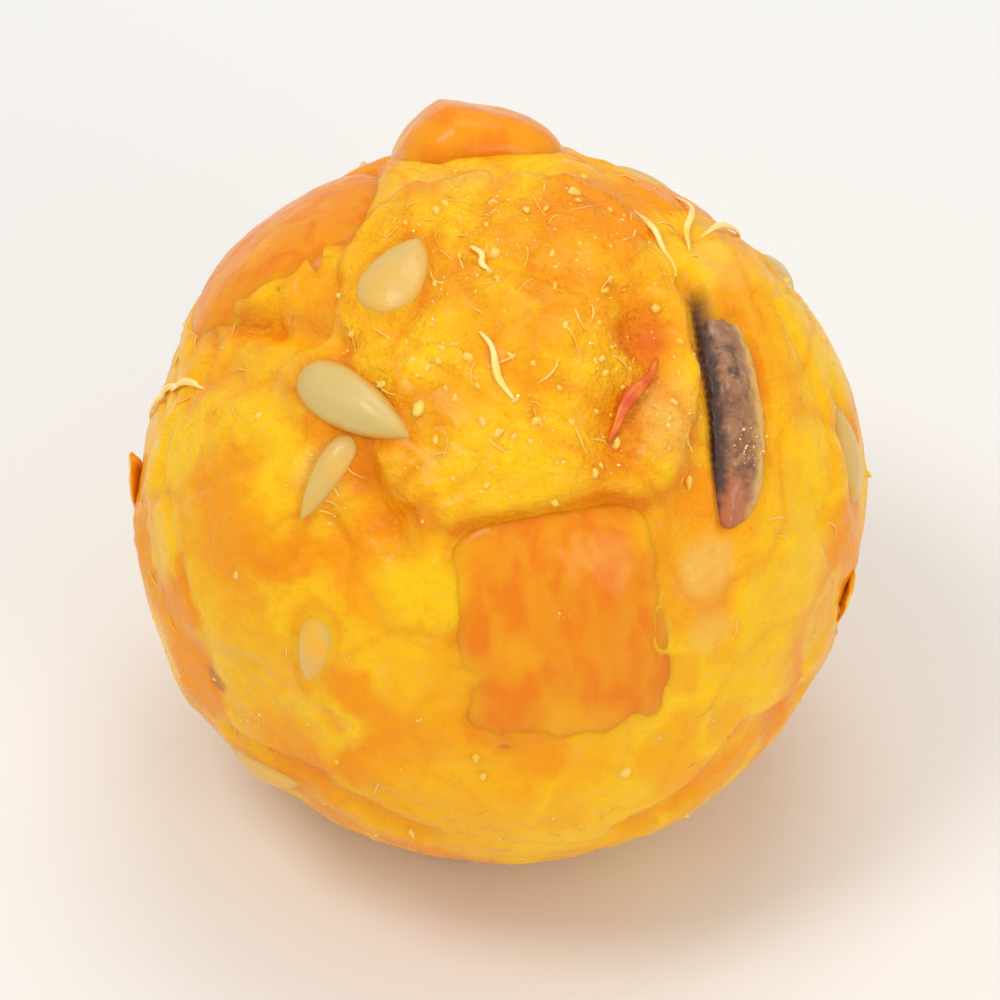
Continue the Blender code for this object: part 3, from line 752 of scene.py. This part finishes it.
def fruit_material(name, colour, deep, scatter):
    """A thin piece of fruit or paste: translucent, with a tone that drifts along it."""
    material, tree, place = start_material(name)
    drift = add(tree, "ShaderNodeTexNoise", {"Vector": place, "Scale": per_metre(1.8 * MM), "Detail": 3.0})
    share = add(tree, "ShaderNodeMapRange", {
        "Value": drift.outputs["Fac"], "From Min": 0.42, "From Max": 0.66, "To Min": 0.0, "To Max": 0.8})
    shade = add(tree, "ShaderNodeMix", {
        0: share.outputs["Result"], 6: colour, 7: deep}, data_type="RGBA").outputs[2]
    fine = add(tree, "ShaderNodeTexNoise", {"Vector": place, "Scale": per_metre(0.4 * MM), "Detail": 2.0})
    end_material(tree, {
        "Base Color": shade, "Roughness": 0.38, "IOR": 1.45, "Subsurface Weight": scatter,
        "Subsurface Radius": (1.0, 0.5, 0.15), "Subsurface Scale": 0.8 * MM, "Coat Weight": 0.35,
        "Coat Roughness": 0.15, "Coat IOR": 1.4}, fine.outputs["Fac"], 0.06 * MM)
    return material


def sugar_material(colours):
    """Sugar crystals, dried from syrup: clear facets that flash."""
    material, tree, place = start_material("dried_sugar_crystals")
    drift = add(tree, "ShaderNodeTexNoise", {"Vector": place, "Scale": per_metre(0.8 * MM), "Detail": 1.0})
    shade = add(tree, "ShaderNodeMix", {
        0: drift.outputs["Fac"], 6: colours.sugar, 7: colours.yellow}, data_type="RGBA").outputs[2]
    end_material(tree, {"Base Color": shade, "Roughness": 0.06, "IOR": 1.54}, drift.outputs["Fac"], 0.01 * MM)
    return material


def floor_material(colours):
    """Matt painted board: pale and even, with a trace of tooth."""
    material, tree, place = start_material("matt_painted_board")
    tooth = add(tree, "ShaderNodeTexNoise", {"Vector": place, "Scale": per_metre(2.0 * MM), "Detail": 2.0})
    end_material(tree, {"Base Color": colours.floor, "Roughness": 0.75}, tooth.outputs["Fac"], 0.01 * MM)
    return material


def pillow_points(directions, at, size, depth, top, power, ridge=0.0, rise=0.0):
    """A soft-cornered block that lies along the ball, its outer face top above the bare ball.

    A rise lifts that face to a peak, at the share ridge of the way from its middle to its side.
    """
    norm = (np.abs(directions) ** power).sum(axis=1) ** (1.0 / power)
    block = directions / norm[:, None]
    wander = 1.0 + 0.05 * noise_at(directions, 0.9, at[0] * 0.1)
    across = block[:, 0] * 0.5 * size[0] * wander
    along = block[:, 1] * 0.5 * size[1] * wander
    dent = 0.16 * MM * noise_at(directions, 0.45, at[1] * 0.1)
    slope = 1.0 - np.abs(block[:, 0] - ridge) / (1.0 + np.sign(ridge - block[:, 0]) * ridge)
    peak = rise * slope * np.clip(block[:, 2], 0.0, 1.0)
    height = top - 0.5 * depth + block[:, 2] * 0.5 * depth + dent + peak
    radii = BALL_RADIUS + height
    return BALL_CENTRE + wrapped(frame_at(*at), across, along) * radii[:, None], block


def footprint(shape, directions):
    """How far out each direction is in a pressed-in piece: 0 at its middle, 1 on its outline."""
    flat = flattened(frame_at(*shape["at"]), directions)
    return outline_size(flat, 0.5 * np.array(shape["size"]), shape["power"])


def seed_footprint(at, scale, directions):
    """How far out each direction is in a seed kernel: 0 at its middle, 1 on its outline."""
    flat = flattened(frame_at(*at), directions) / (0.5 * np.array(SEED_SIZE) * np.array(scale))
    taper = 1.0 - SEED_TAPER * np.clip(flat[:, 1], -1.0, 1.0)
    return np.hypot(flat[:, 0] / taper, flat[:, 1])


@functools.cache
def seed_seats():
    """Every seed kernel as its place, scale, top and film of paste."""
    seats = [(seed["at"], seed["scale"], seed["top"], seed["film"]) for seed in SEEDS.values()]
    return seats + [(at, REAR_SEED_SCALE, REAR_SEED_TOP, REAR_SEED_FILM) for at in rear_layout()[0]]


def seated(skin, level, inward, reach, pull):
    """The skin drawn to a level beside a piece, and kept from closing over it further in than its lap."""
    beside = smooth_step(1.0 + inward / reach) * pull
    skin = skin + (level - skin) * beside
    return np.minimum(skin, level + LIP_SLOPE * np.maximum(-inward, 0.0))


def fine_wander(points):
    """Small unevenness that keeps the edges of paste from running smooth."""
    return noise_at(points, WANDER_LENGTH, 9.1)


def kneaded_skin(directions):
    """The skin's radius before anything is pressed in, and how creased and how crumbly each point is."""
    sizes = bpy.context.scene.ladoo_sizes
    points = directions * BALL_RADIUS
    wander = 0.05 * noise_at(points, 2.2 * MM, 4.4) + 0.03 * fine_wander(points)
    relief = ball_relief(directions, wander)
    calm = calm_share(directions)
    crown = lump_share(LUMPS["crown"], directions)
    patchy = smooth_step(0.5 + 0.9 * noise_at(points, PATCHY_LENGTH, 12.3))
    high = smooth_step((directions[:, 2] + 0.25) / 0.9)
    crumbly = np.clip((0.15 + 0.35 * patchy) * (0.25 + 0.75 * high) + 0.50 * crown, 0.0, 1.0)
    warp = np.stack([noise_at(points, WARP_LENGTH, shift) for shift in (21.0, 22.0, 23.0)], axis=1)
    stirred = points + WARP_REACH * warp
    grains = grains_at(stirred, sizes.grain_length, 1.7)
    small_grains = grains_at(stirred, 0.45 * sizes.grain_length, 5.2)
    folds = (1.0 - np.abs(noise_at(stirred, FOLD_LENGTH, 15.8))) ** 14 * (0.35 + 0.65 * high)
    rough = noise_at(points, TOOTH_LENGTH, 31.0)
    relief += calm * crumbly * (sizes.grain * grains + 0.45 * sizes.grain * small_grains)
    relief += calm * ((0.035 + 0.045 * crumbly) * MM * rough - sizes.fold * folds)
    # Painted shade: the crease share darkens folds, the cracks between grains, the crown's ledge and the
    # slits below
    ledge = 4.0 * crown * (1.0 - crown)
    crease = 0.50 * folds + 0.25 * crumbly * -grains + 0.35 * ledge
    for slit in SLITS.values():
        crease += 0.4 * slit_share(slit, directions)
    return BALL_RADIUS + relief, crease, crumbly


def lap_over(node, shape, directions):
    """How far the paste laps over a slab or date: raggedly, and hardly at all at a slab's upper edge."""
    points = directions * BALL_RADIUS
    if node in DATES:
        return DATE_LAP + DATE_WANDER * fine_wander(points)
    ragged = RAGGED_FAR * noise_at(points, 3.2 * MM, 17.0) + RAGGED_NEAR * noise_at(points, 1.4 * MM, 27.0)
    north = flattened(frame_at(*shape["at"]), directions)[:, 1] / (0.5 * shape["size"][1])
    firm = smooth_step((north - 0.45) / 0.40)
    return (SLAB_LAP + ragged) * (1.0 - firm) + (FIRM_LAP + 0.1 * ragged) * firm


def bed_level(shape, size, inward):
    """The level that the paste is drawn to beside a slab or date, and under it."""
    face = (1.0 - np.clip(size, 0.0, 1.0) ** shape["power"]) ** (1.0 / shape["power"])
    held = shape["top"] - 0.5 * shape["depth"] * (1.0 - np.maximum(face, HELD_SHOULDER))
    level = BALL_RADIUS + held + PROUD - THINNING * np.maximum(inward, 0.0)
    return np.maximum(level, BALL_RADIUS + shape["top"] - 0.45 * shape["depth"])


def date_crevice_shadow(directions):
    """Painted shadow in the slit beside the date: how dark it is, fading at the date's low end."""
    date = DATES["date_strip_right"]
    along = flattened(frame_at(*date["at"]), directions)[:, 1] / (0.5 * date["size"][1])
    beside = smooth_step((1.25 - footprint(date, directions)) / 0.25) * smooth_step((along + 0.9) / 0.5)
    return slit_share(SLITS["beside_date"], directions) ** 0.7 * beside


def paste_skin(directions):
    """The radius of the dressed skin, and for each point how creased, how dark its painted shadow beside the
    date is, and how grainy it is.
    """
    skin, crease, crumbly = kneaded_skin(directions)
    loose = 1.0 - 0.7 * lump_share(LUMPS["crown"], directions)
    for node, shape in [*SLABS.items(), *DATES.items()]:
        size = footprint(shape, directions)
        inward = (1.0 - size) * 0.5 * min(shape["size"]) - lap_over(node, shape, directions)
        level = bed_level(shape, size, inward)
        # Painted shade: a seam round each slab and date, and the paste's lip where it stands above one,
        # darken the crease share
        above = smooth_step((skin - level) / LIP_HEIGHT) * np.exp(-((inward / LIP_WIDTH) ** 2))
        crease += 0.25 * np.exp(-((inward / SEAM_WIDTH) ** 2)) + 0.45 * above
        skin = seated(skin, level, inward, PULL_REACH, PULL[node] * loose)
    wander = fine_wander(directions * BALL_RADIUS)
    for at, scale, top, film in seed_seats():
        inward = (1.0 - seed_footprint(at, scale, directions)) * 0.5 * SEED_SIZE[0] * scale[0]
        level = BALL_RADIUS + top - (0.80 - 0.50 * film) * 0.5 * SEED_DEPTH + PROUD * wander
        # Painted shade: a seam round each seed kernel darkens the crease share
        crease += 0.40 * np.exp(-((inward / SEED_SEAM_WIDTH) ** 2))
        skin = seated(skin, level, inward, SEED_REACH, 0.9)
    crease = np.clip(crease * calm_share(directions), 0.0, 1.0)
    return skin, crease, date_crevice_shadow(directions), crumbly


def skin_point(toward, lift):
    """The point this far above the skin in a direction from the ball's centre."""
    rows = np.array([toward])
    return BALL_CENTRE + toward * (BALL_RADIUS + ball_relief(rows)[0] + lift)


def sweep(centres, outs, radii, thin=1.0, sides=8):
    """A closed strip round a line of points: its points and faces. thin flattens it."""
    ahead = np.gradient(centres, axis=0)
    side = np.cross(ahead, outs)
    side /= np.linalg.norm(side, axis=1)[:, None]
    up = np.cross(side, ahead)
    up /= np.linalg.norm(up, axis=1)[:, None]
    turns = np.arange(sides) * 2.0 * math.pi / sides
    rings = [centre + radius * (np.outer(np.cos(turns), across) + thin * np.outer(np.sin(turns), rise))
             for centre, radius, across, rise in zip(centres, radii, side, up)]
    faces = []
    for ring in range(len(centres) - 1):
        for corner in range(sides):
            after = (corner + 1) % sides
            low, high = ring * sides, (ring + 1) * sides
            faces.append((low + corner, low + after, high + after, high + corner))
    last = (len(centres) - 1) * sides
    faces.append(tuple(range(sides - 1, -1, -1)))
    faces.append(tuple(last + corner for corner in range(sides)))
    return np.concatenate(rings), faces


def shred_strip(path, lift, radius, draw, knots=SHRED_KNOTS):
    """A strip whose ends sink into the skin and whose middle stands off it, uneven in width."""
    start, end = (Vector(direction(*spot)) for spot in path)
    shares = np.linspace(0.0, 1.0, knots)
    bows = np.sin(math.pi * shares)
    phase = draw.uniform(0.0, 6.0)
    outs = np.array([start.slerp(end, share) for share in shares])
    sideways = np.cross(outs[-1], outs[0])
    sideways /= np.linalg.norm(sideways)
    swing = 0.35 * MM * np.sin(5.0 * shares + phase) * bows
    centres = np.array([skin_point(out, 0.6 * lift * bow - 0.4 * SHRED_SINK) for out, bow in zip(outs, bows)])
    centres += sideways * swing[:, None]
    widths = radius * (0.35 + 0.65 * bows) * (1.0 + 0.16 * np.sin(9.0 * shares + 2.0 * phase))
    return sweep(centres, outs, widths, thin=0.62)


def is_clear(toward, reach, taken):
    """True where a piece of this half-length keeps off the slabs, dates and pieces already laid."""
    for shape in [*SLABS.values(), *DATES.values()]:
        flat = np.abs(flattened(frame_at(*shape["at"]), toward[None])[0])
        if (flat < 0.5 * np.array(shape["size"]) + reach + 0.3 * CLEARANCE).all():
            return False
    return all(
        math.acos(np.clip(toward @ other, -1, 1)) * BALL_RADIUS > reach + room for other, room in taken)


def rear_places(count, reach, taken, draw):
    """Places on the far side by seeded draws, each clear of what lies there already."""
    found = []
    for _ in range(REAR_TRIES):
        if len(found) == count:
            break
        spot = (draw.uniform(*REAR_LONGITUDES), draw.uniform(*REAR_LATITUDES))
        toward = direction(*spot)
        if is_clear(toward, reach, taken):
            found.append((*spot, draw.uniform(0.0, 360.0)))
            taken.append((toward, reach + CLEARANCE))
    return found


def rear_layout():
    """Where the seeds and then the shreds of the far side lie, as in the solids."""
    taken = [(direction(*seed["at"][:2]), 0.5 * SEED_SIZE[1]) for seed in SEEDS.values()]
    taken += [(direction(*flake["at"][:2]), 0.5 * FLAKE_SIZE[0]) for flake in FLAKES.values()]
    for shred in [*SHREDS.values(), PEEL]:
        taken += [(toward, SHRED_RADIUS) for toward in path_points(shred["path"], step=2.0 * MM)]
    draw = random.Random(REAR_SEED)
    seeds = rear_places(REAR_SEED_COUNT, 0.5 * SEED_SIZE[1], taken, draw)
    shreds = rear_places(REAR_SHRED_COUNT, 0.12 * BALL_RADIUS, taken, draw)
    return seeds, shreds


def shred_path(longitude, latitude, turn):
    """Ends of a shred laid through a place at an angle."""
    heading = math.radians(turn)
    half = 0.5 * REAR_SHRED_TURN
    east = half * math.cos(heading) / math.cos(math.radians(latitude))
    north = half * math.sin(heading)
    return ((longitude - east, latitude - north), (longitude + east, latitude + north))


def seed_points(directions, at, scale, top):
    """A melon seed kernel: a flat drop with a thin rim, round at one end and pointed at the other."""
    taper = 1.0 - SEED_TAPER * directions[:, 1]
    point = 1.0 - 0.30 * np.clip(directions[:, 1], 0.0, 1.0) ** 4
    across = directions[:, 0] * 0.5 * SEED_SIZE[0] * scale[0] * taper * point
    along = directions[:, 1] * 0.5 * SEED_SIZE[1] * scale[1]
    belly = np.sign(directions[:, 2]) * np.abs(directions[:, 2]) ** 1.15
    dent = 0.06 * MM * noise_at(directions, 0.5, at[0] * 0.1)
    height = top + (belly - 1.0) * 0.5 * SEED_DEPTH + dent
    return BALL_CENTRE + wrapped(frame_at(*at), across, along) * (BALL_RADIUS + height)[:, None]


def near_spots(groups, draw):
    """Directions scattered round the middle of each group."""
    found = []
    for place, spread, count in groups.values():
        axes = frame_at(*place)
        across = np.array([draw.gauss(0.0, spread * MM) for _ in range(count)])
        along = np.array([draw.gauss(0.0, spread * MM) for _ in range(count)])
        found.append(wrapped(axes, across, along))
    return np.concatenate(found)


def open_spots(count, crown_share, draw):
    """Directions drawn over the ball, off the slabs, dates and resting spot, more often on the crown."""
    middle, reach = frame_at(*LUMPS["crown"]["at"][:2]), 0.52 * BALL_RADIUS
    found = []
    while len(found) < count:
        toward = np.array(Vector((draw.gauss(0, 1), draw.gauss(0, 1), draw.gauss(0, 1))).normalized())[None]
        if draw.random() < crown_share:
            turn, tip = draw.uniform(0.0, 2.0 * math.pi), reach * math.sqrt(draw.random())
            toward = wrapped(middle, np.array([tip * math.cos(turn)]), np.array([tip * math.sin(turn)]))
        covered = any(footprint(shape, toward)[0] < 1.02 for shape in [*SLABS.values(), *DATES.values()])
        covered |= any(seed_footprint(at, scale, toward)[0] < 1.1 for at, scale, _, _ in seed_seats())
        if toward[0, 2] > LOWEST_SPOT and not covered:
            found.append(toward[0])
    return np.array(found)


class LADOO_OT_stage(bpy.types.Operator):
    """Lays the floor, and sets the lights, the sky and the camera"""

    bl_idname = "ladoo.stage"
    bl_label = "Stage"

    def execute(self, context):
        self.lay_floor(context)
        self.set_lights(context)
        self.set_camera(context)
        return {"FINISHED"}

    def lay_floor(self, context):
        corners = [(across * FLOOR_HALF, along * FLOOR_HALF, FLOOR_LEVEL)
                   for across, along in ((-1, -1), (1, -1), (1, 1), (-1, 1))]
        data = bpy.data.meshes.new("floor")
        data.from_pydata(corners, [], [(0, 1, 2, 3)])
        data.materials.append(floor_material(context.scene.ladoo_colours))
        floor = bpy.data.objects.new("floor", data)
        context.scene.collection.objects.link(floor)

    def set_lights(self, context):
        for name, box in SOFTBOXES.items():
            light = bpy.data.lights.new(name, "AREA")
            light.shape = "DISK"
            light.size = box["width"]
            light.energy = box["power"]
            lamp = bpy.data.objects.new(name, light)
            lamp.location = box["place"]
            lamp.rotation_euler = (Vector(BALL_CENTRE) - lamp.location).to_track_quat("-Z", "Y").to_euler()
            context.scene.collection.objects.link(lamp)
        sky = bpy.data.worlds.new("studio_sky")
        sky.use_nodes = True
        backdrop = sky.node_tree.nodes["Background"]
        backdrop.inputs["Color"].default_value = SKY_COLOUR
        backdrop.inputs["Strength"].default_value = SKY_STRENGTH
        context.scene.world = sky
        context.scene.view_settings.view_transform = "Standard"
        context.scene.view_settings.look = "None"

    def set_camera(self, context):
        lens = bpy.data.cameras.new("camera")
        lens.sensor_width = SENSOR_WIDTH
        lens.lens = SENSOR_WIDTH * CAMERA_DISTANCE / SEEN_WIDTH
        camera = bpy.data.objects.new("camera", lens)
        back = Vector((0.0, -math.cos(CAMERA_ELEVATION), math.sin(CAMERA_ELEVATION)))
        camera.location = Vector(CAMERA_TARGET) + back * CAMERA_DISTANCE
        camera.rotation_euler = (-back).to_track_quat("-Z", "Y").to_euler()
        context.scene.collection.objects.link(camera)
        context.scene.camera = camera


class LADOO_OT_paste(bpy.types.Operator):
    """Makes the pressed ball of paste, with beds for the slabs and dates"""

    bl_idname = "ladoo.paste"
    bl_label = "Paste ball"

    def execute(self, context):
        directions, faces = ball_grid(PASTE_CELLS)
        skin, crease, shadow_and_stain, crumbly = paste_skin(directions)
        points = BALL_CENTRE + directions * skin[:, None]
        below = points[:, 2] < PRESSED_FLAT
        reach = BALL_CENTRE[2] / np.maximum(-directions[:, 2], 1e-6)
        points[below] = (BALL_CENTRE + directions * reach[:, None])[below]
        points[below, 2] = FLOOR_LEVEL
        material = paste_material(context.scene.ladoo_colours)
        ball = mesh_piece("paste_ball", points, faces, material, ["ladoo_ball"])
        # Painted shade: the crease mark darkens creases, seams and ledges
        mark(ball, "crease", crease)
        # Painted shadow: this mark darkens the slit beside the date
        mark(ball, "shadow_and_stain", shadow_and_stain)
        mark(ball, "grainy", crumbly)
        return {"FINISHED"}


class LADOO_OT_slabs(bpy.types.Operator):
    """Makes the slabs of candied mango"""

    bl_idname = "ladoo.slabs"
    bl_label = "Candied mango slabs"

    def execute(self, context):
        material = slab_material(context.scene.ladoo_colours)
        directions, faces = ball_grid(SLAB_CELLS)
        for node, shape in SLABS.items():
            points, block = pillow_points(directions, **shape)
            outward = (points - BALL_CENTRE) / np.linalg.norm(points - BALL_CENTRE, axis=1)[:, None]
            stripes = noise_at(points * np.array((1.0, 1.0, 0.3)), 0.9 * MM, 2.0)
            points += outward * (0.05 * MM * stripes * (block[:, 2] > 0.0))[:, None]
            patchy = 0.25 * noise_at(points, 2.6 * MM, 6.0)
            side = np.maximum(np.abs(block[:, 0]), -block[:, 1])
            name = node.replace("mango_slab", "candied_slab")
            piece = mesh_piece(name, points, faces, material, [node])
            mark(piece, "film", 0.8 * smooth_step((side + patchy - 0.72) / 0.35))
            mark(piece, "paler", np.full(len(points), PALER[node]))
        return {"FINISHED"}


class LADOO_OT_dates(bpy.types.Operator):
    """Makes the slices of date"""

    bl_idname = "ladoo.dates"
    bl_label = "Date slices"

    def execute(self, context):
        material = date_material(context.scene.ladoo_colours)
        directions, faces = ball_grid(DATE_CELLS)
        for node, shape in DATES.items():
            points, block = pillow_points(directions, **shape)
            outward = (points - BALL_CENTRE) / np.linalg.norm(points - BALL_CENTRE, axis=1)[:, None]
            wrinkles = noise_at(points, 0.7 * MM, 8.0) + 0.5 * noise_at(points, 0.35 * MM, 3.0)
            sunk = smooth_step((-block[:, 0] - 0.25) / 0.5) * (block[:, 2] > 0.0)
            points += outward * (0.09 * MM * wrinkles - 0.45 * MM * sunk)[:, None]
            name = node.replace("date_strip", "date_slice")
            piece = mesh_piece(name, points, faces, material, [node])
            # Painted shade: the date's left side, towards the slit, is darkened
            mark(piece, "side", 0.95 * smooth_step((-block[:, 0] + 0.15 * wrinkles - 0.48) / 0.30))
            mark(piece, "low_end", 0.85 * smooth_step((-block[:, 1] + 0.15 * wrinkles - 0.35) / 0.45))
            mark(piece, "film", 0.75 * smooth_step((block[:, 0] + 0.30 * wrinkles - 0.05) / 0.60))
        return {"FINISHED"}


class LADOO_OT_seeds(bpy.types.Operator):
    """Makes the melon seed kernels"""

    bl_idname = "ladoo.seeds"
    bl_label = "Seed kernels"

    def execute(self, context):
        directions, faces = ball_grid(SEED_CELLS)
        laid = [seed_points(directions, at, scale, top) for at, scale, top, _ in seed_seats()]
        points, all_faces = joined([(some, faces) for some in laid])
        material = seed_material(context.scene.ladoo_colours)
        piece = mesh_piece("melon_seeds", points, all_faces, material, ["ladoo_ball"])
        rim = smooth_step((np.hypot(directions[:, 0], directions[:, 1]) - 0.62) / 0.38)
        mark(piece, "rim", np.tile(rim, len(laid)))
        films = [film for *_, film in seed_seats()]
        patchy = smooth_step(0.5 + noise_at(points, 1.6 * MM, 3.0))
        mark(piece, "film", np.repeat(films, len(directions)) * (0.5 + 0.5 * patchy))
        return {"FINISHED"}


class LADOO_OT_shreds(bpy.types.Operator):
    """Makes the shreds of mango and the strand of peel"""

    bl_idname = "ladoo.shreds"
    bl_label = "Shreds and peel"

    def execute(self, context):
        colours = context.scene.ladoo_colours
        draw = random.Random(SHRED_DRAW)
        _, rear = rear_layout()
        laid = [(shred["path"], shred["lift"]) for shred in SHREDS.values()]
        laid += [(shred_path(*at), REAR_SHRED_LIFT) for at in rear]
        strips = [shred_strip(path, lift, SHRED_HALF, draw) for path, lift in laid]
        points, faces = joined(strips)
        pale = fruit_material("dried_mango_shreds", colours.shred, colours.yellow, 0.35)
        mesh_piece("mango_shreds", points, faces, pale, ["ladoo_ball"])
        points, faces = shred_strip(PEEL["path"], PEEL["lift"], PEEL_HALF, draw, knots=PEEL_KNOTS)
        red = fruit_material("mango_peel", colours.peel, colours.orange, 0.25)
        mesh_piece("mango_peel", points, faces, red, ["ladoo_ball"])
        return {"FINISHED"}


class LADOO_OT_flakes(bpy.types.Operator):
    """Makes the thin flakes of paste that stand off the skin"""

    bl_idname = "ladoo.flakes"
    bl_label = "Flakes"

    def execute(self, context):
        colours = context.scene.ladoo_colours
        directions, faces = ball_grid(FLAKE_CELLS)
        parts = []
        for flake in FLAKES.values():
            axes = frame_at(*flake["at"])
            across, along, height = (directions[:, axis] * 0.5 * FLAKE_SIZE[axis] for axis in range(3))
            share = 0.5 + directions[:, 1] / 2.0
            rise = (flake["lift"] + FLAKE_SINK) * share - FLAKE_SINK
            curl = 0.20 * MM * noise_at(directions, 0.5, flake["at"][0])
            middle = skin_point(axes[2], 0.0)
            points = middle + np.outer(across + curl, axes[0]) + np.outer(along, axes[1])
            points += np.outer(height * (1.0 - 0.4 * share) + rise + curl, axes[2])
            parts.append((points, faces))
        points, all_faces = joined(parts)
        material = fruit_material("paste_flakes", colours.amber, colours.yellow, 0.35)
        mesh_piece("paste_flakes", points, all_faces, material, ["ladoo_ball"])
        return {"FINISHED"}


class LADOO_OT_fibres(bpy.types.Operator):
    """Makes the fibres of mango pulp that lie on the skin"""

    bl_idname = "ladoo.fibres"
    bl_label = "Pulp fibres"

    def execute(self, context):
        sizes, colours = context.scene.ladoo_sizes, context.scene.ladoo_colours
        draw = random.Random(FIBRE_DRAW)
        shares = np.linspace(-1.0, 1.0, FIBRE_KNOTS)
        spots = np.concatenate((near_spots(FIBRE_GROUPS, draw), open_spots(sizes.fibre_count, 0.25, draw)))
        lines = []
        for toward in spots:
            side = np.cross(toward, np.array((draw.gauss(0, 1), draw.gauss(0, 1), draw.gauss(0, 1))))
            side /= np.linalg.norm(side)
            half = draw.uniform(*FIBRE_HALF) / BALL_RADIUS
            bend = draw.uniform(-0.45, 0.45) * half * (1.0 - shares**2)
            outs = toward + np.outer(half * shares, side) + np.outer(bend, np.cross(toward, side))
            lines.append(outs / np.linalg.norm(outs, axis=1)[:, None])
        skins = paste_skin(np.concatenate(lines))[0].reshape(-1, FIBRE_KNOTS)
        lift = (0.07 - 0.20 * shares**2) * MM
        parts = []
        for outs, skin in zip(lines, skins):
            centres = BALL_CENTRE + outs * (skin + lift)[:, None]
            radii = sizes.fibre_radius * draw.uniform(0.6, 1.7) * (1.15 - 0.55 * shares**2)
            parts.append(sweep(centres, outs, radii, thin=0.6, sides=5))
        points, faces = joined(parts)
        material = fruit_material("mango_pulp_fibres", colours.crumb, colours.amber, 0.0)
        mesh_piece("pulp_fibres", points, faces, material, ["ladoo_ball"])
        return {"FINISHED"}


class LADOO_OT_crumbs(bpy.types.Operator):
    """Makes the crumbs of milk solids and the sugar crystals"""

    bl_idname = "ladoo.crumbs"
    bl_label = "Crumbs and sugar"

    def execute(self, context):
        sizes, colours = context.scene.ladoo_sizes, context.scene.ladoo_colours
        draw = random.Random(CRUMB_DRAW)
        directions, faces = ball_grid(CRUMB_CELLS)
        spots = open_spots(sizes.crumb_count, 0.35, draw)
        skins = paste_skin(spots)[0]
        parts = []
        for index, (toward, skin) in enumerate(zip(spots, skins)):
            width = sizes.crumb_size * (0.4 + 1.3 * draw.random() ** 2)
            stretch = np.array((draw.uniform(0.6, 1.5), draw.uniform(0.6, 1.5), draw.uniform(0.5, 0.8)))
            lumpy = 1.0 + 0.45 * noise_at(directions, 0.7, 3.0 * index)
            middle = BALL_CENTRE + toward * (skin - draw.uniform(0.10, 0.30) * width)
            axes = frame_at(draw.uniform(0, 360), draw.uniform(-60, 60), draw.uniform(0, 360))
            grain = directions * stretch * lumpy[:, None] * 0.5 * width
            parts.append((middle + grain @ axes, faces))
        points, all_faces = joined(parts)
        material = fruit_material("milk_solid_crumbs", colours.crumb, colours.yellow, 0.0)
        mesh_piece("milk_crumbs", points, all_faces, material, ["ladoo_ball"])

        cube, sides = ball_grid(1)
        spots = np.concatenate((near_spots(SUGAR_GROUPS, draw), open_spots(sizes.glint_count, 0.45, draw)))
        levels = paste_skin(spots)[0]
        for shape in [*SLABS.values(), *DATES.values()]:
            over = footprint(shape, spots) < 0.75
            levels[over] = np.maximum(levels[over], BALL_RADIUS + shape["top"])
        parts = []
        for toward, level in zip(spots, levels):
            width = sizes.glint_size * draw.uniform(0.5, 1.5)
            middle = BALL_CENTRE + toward * (level + 0.1 * width)
            axes = frame_at(draw.uniform(0, 360), draw.uniform(-80, 80), draw.uniform(0, 360))
            stretch = np.array((draw.uniform(0.6, 1.2), draw.uniform(0.6, 1.2), draw.uniform(0.5, 1.0)))
            parts.append((middle + (cube * stretch * 0.5 * width) @ axes, sides))
        points, all_faces = joined(parts)
        sugar = sugar_material(colours)
        mesh_piece("sugar_glints", points, all_faces, sugar, ["ladoo_ball"], smooth=False)
        return {"FINISHED"}


OPERATORS = (LADOO_OT_stage, LADOO_OT_paste, LADOO_OT_slabs, LADOO_OT_dates, LADOO_OT_seeds, LADOO_OT_shreds,
             LADOO_OT_flakes, LADOO_OT_fibres, LADOO_OT_crumbs)


class LADOO_PT_panel(bpy.types.Panel):
    """Lists the ladoo's pieces in the sidebar"""

    bl_idname = "LADOO_PT_panel"
    bl_label = "Mango ladoo"
    bl_space_type = "VIEW_3D"
    bl_region_type = "UI"
    bl_category = "Ladoo"

    def draw(self, context):
        for operator in OPERATORS:
            self.layout.operator(operator.bl_idname)
        for group in (context.scene.ladoo_sizes, context.scene.ladoo_colours):
            for name in group.__annotations__:
                self.layout.prop(group, name)


CLASSES = (LadooSizes, LadooColours, *OPERATORS, LADOO_PT_panel)


def register():
    for kind in CLASSES:
        bpy.utils.register_class(kind)
    bpy.types.Scene.ladoo_sizes = bpy.props.PointerProperty(type=LadooSizes)
    bpy.types.Scene.ladoo_colours = bpy.props.PointerProperty(type=LadooColours)


def unregister():
    del bpy.types.Scene.ladoo_colours
    del bpy.types.Scene.ladoo_sizes
    for kind in reversed(CLASSES):
        bpy.utils.unregister_class(kind)


def main():
    register()
    bpy.ops.ladoo.stage()
    bpy.ops.ladoo.paste()
    bpy.ops.ladoo.slabs()
    bpy.ops.ladoo.dates()
    bpy.ops.ladoo.seeds()
    bpy.ops.ladoo.shreds()
    bpy.ops.ladoo.flakes()
    bpy.ops.ladoo.fibres()
    bpy.ops.ladoo.crumbs()
    bpy.context.view_layer.update()


if __name__ == "__main__":
    main()
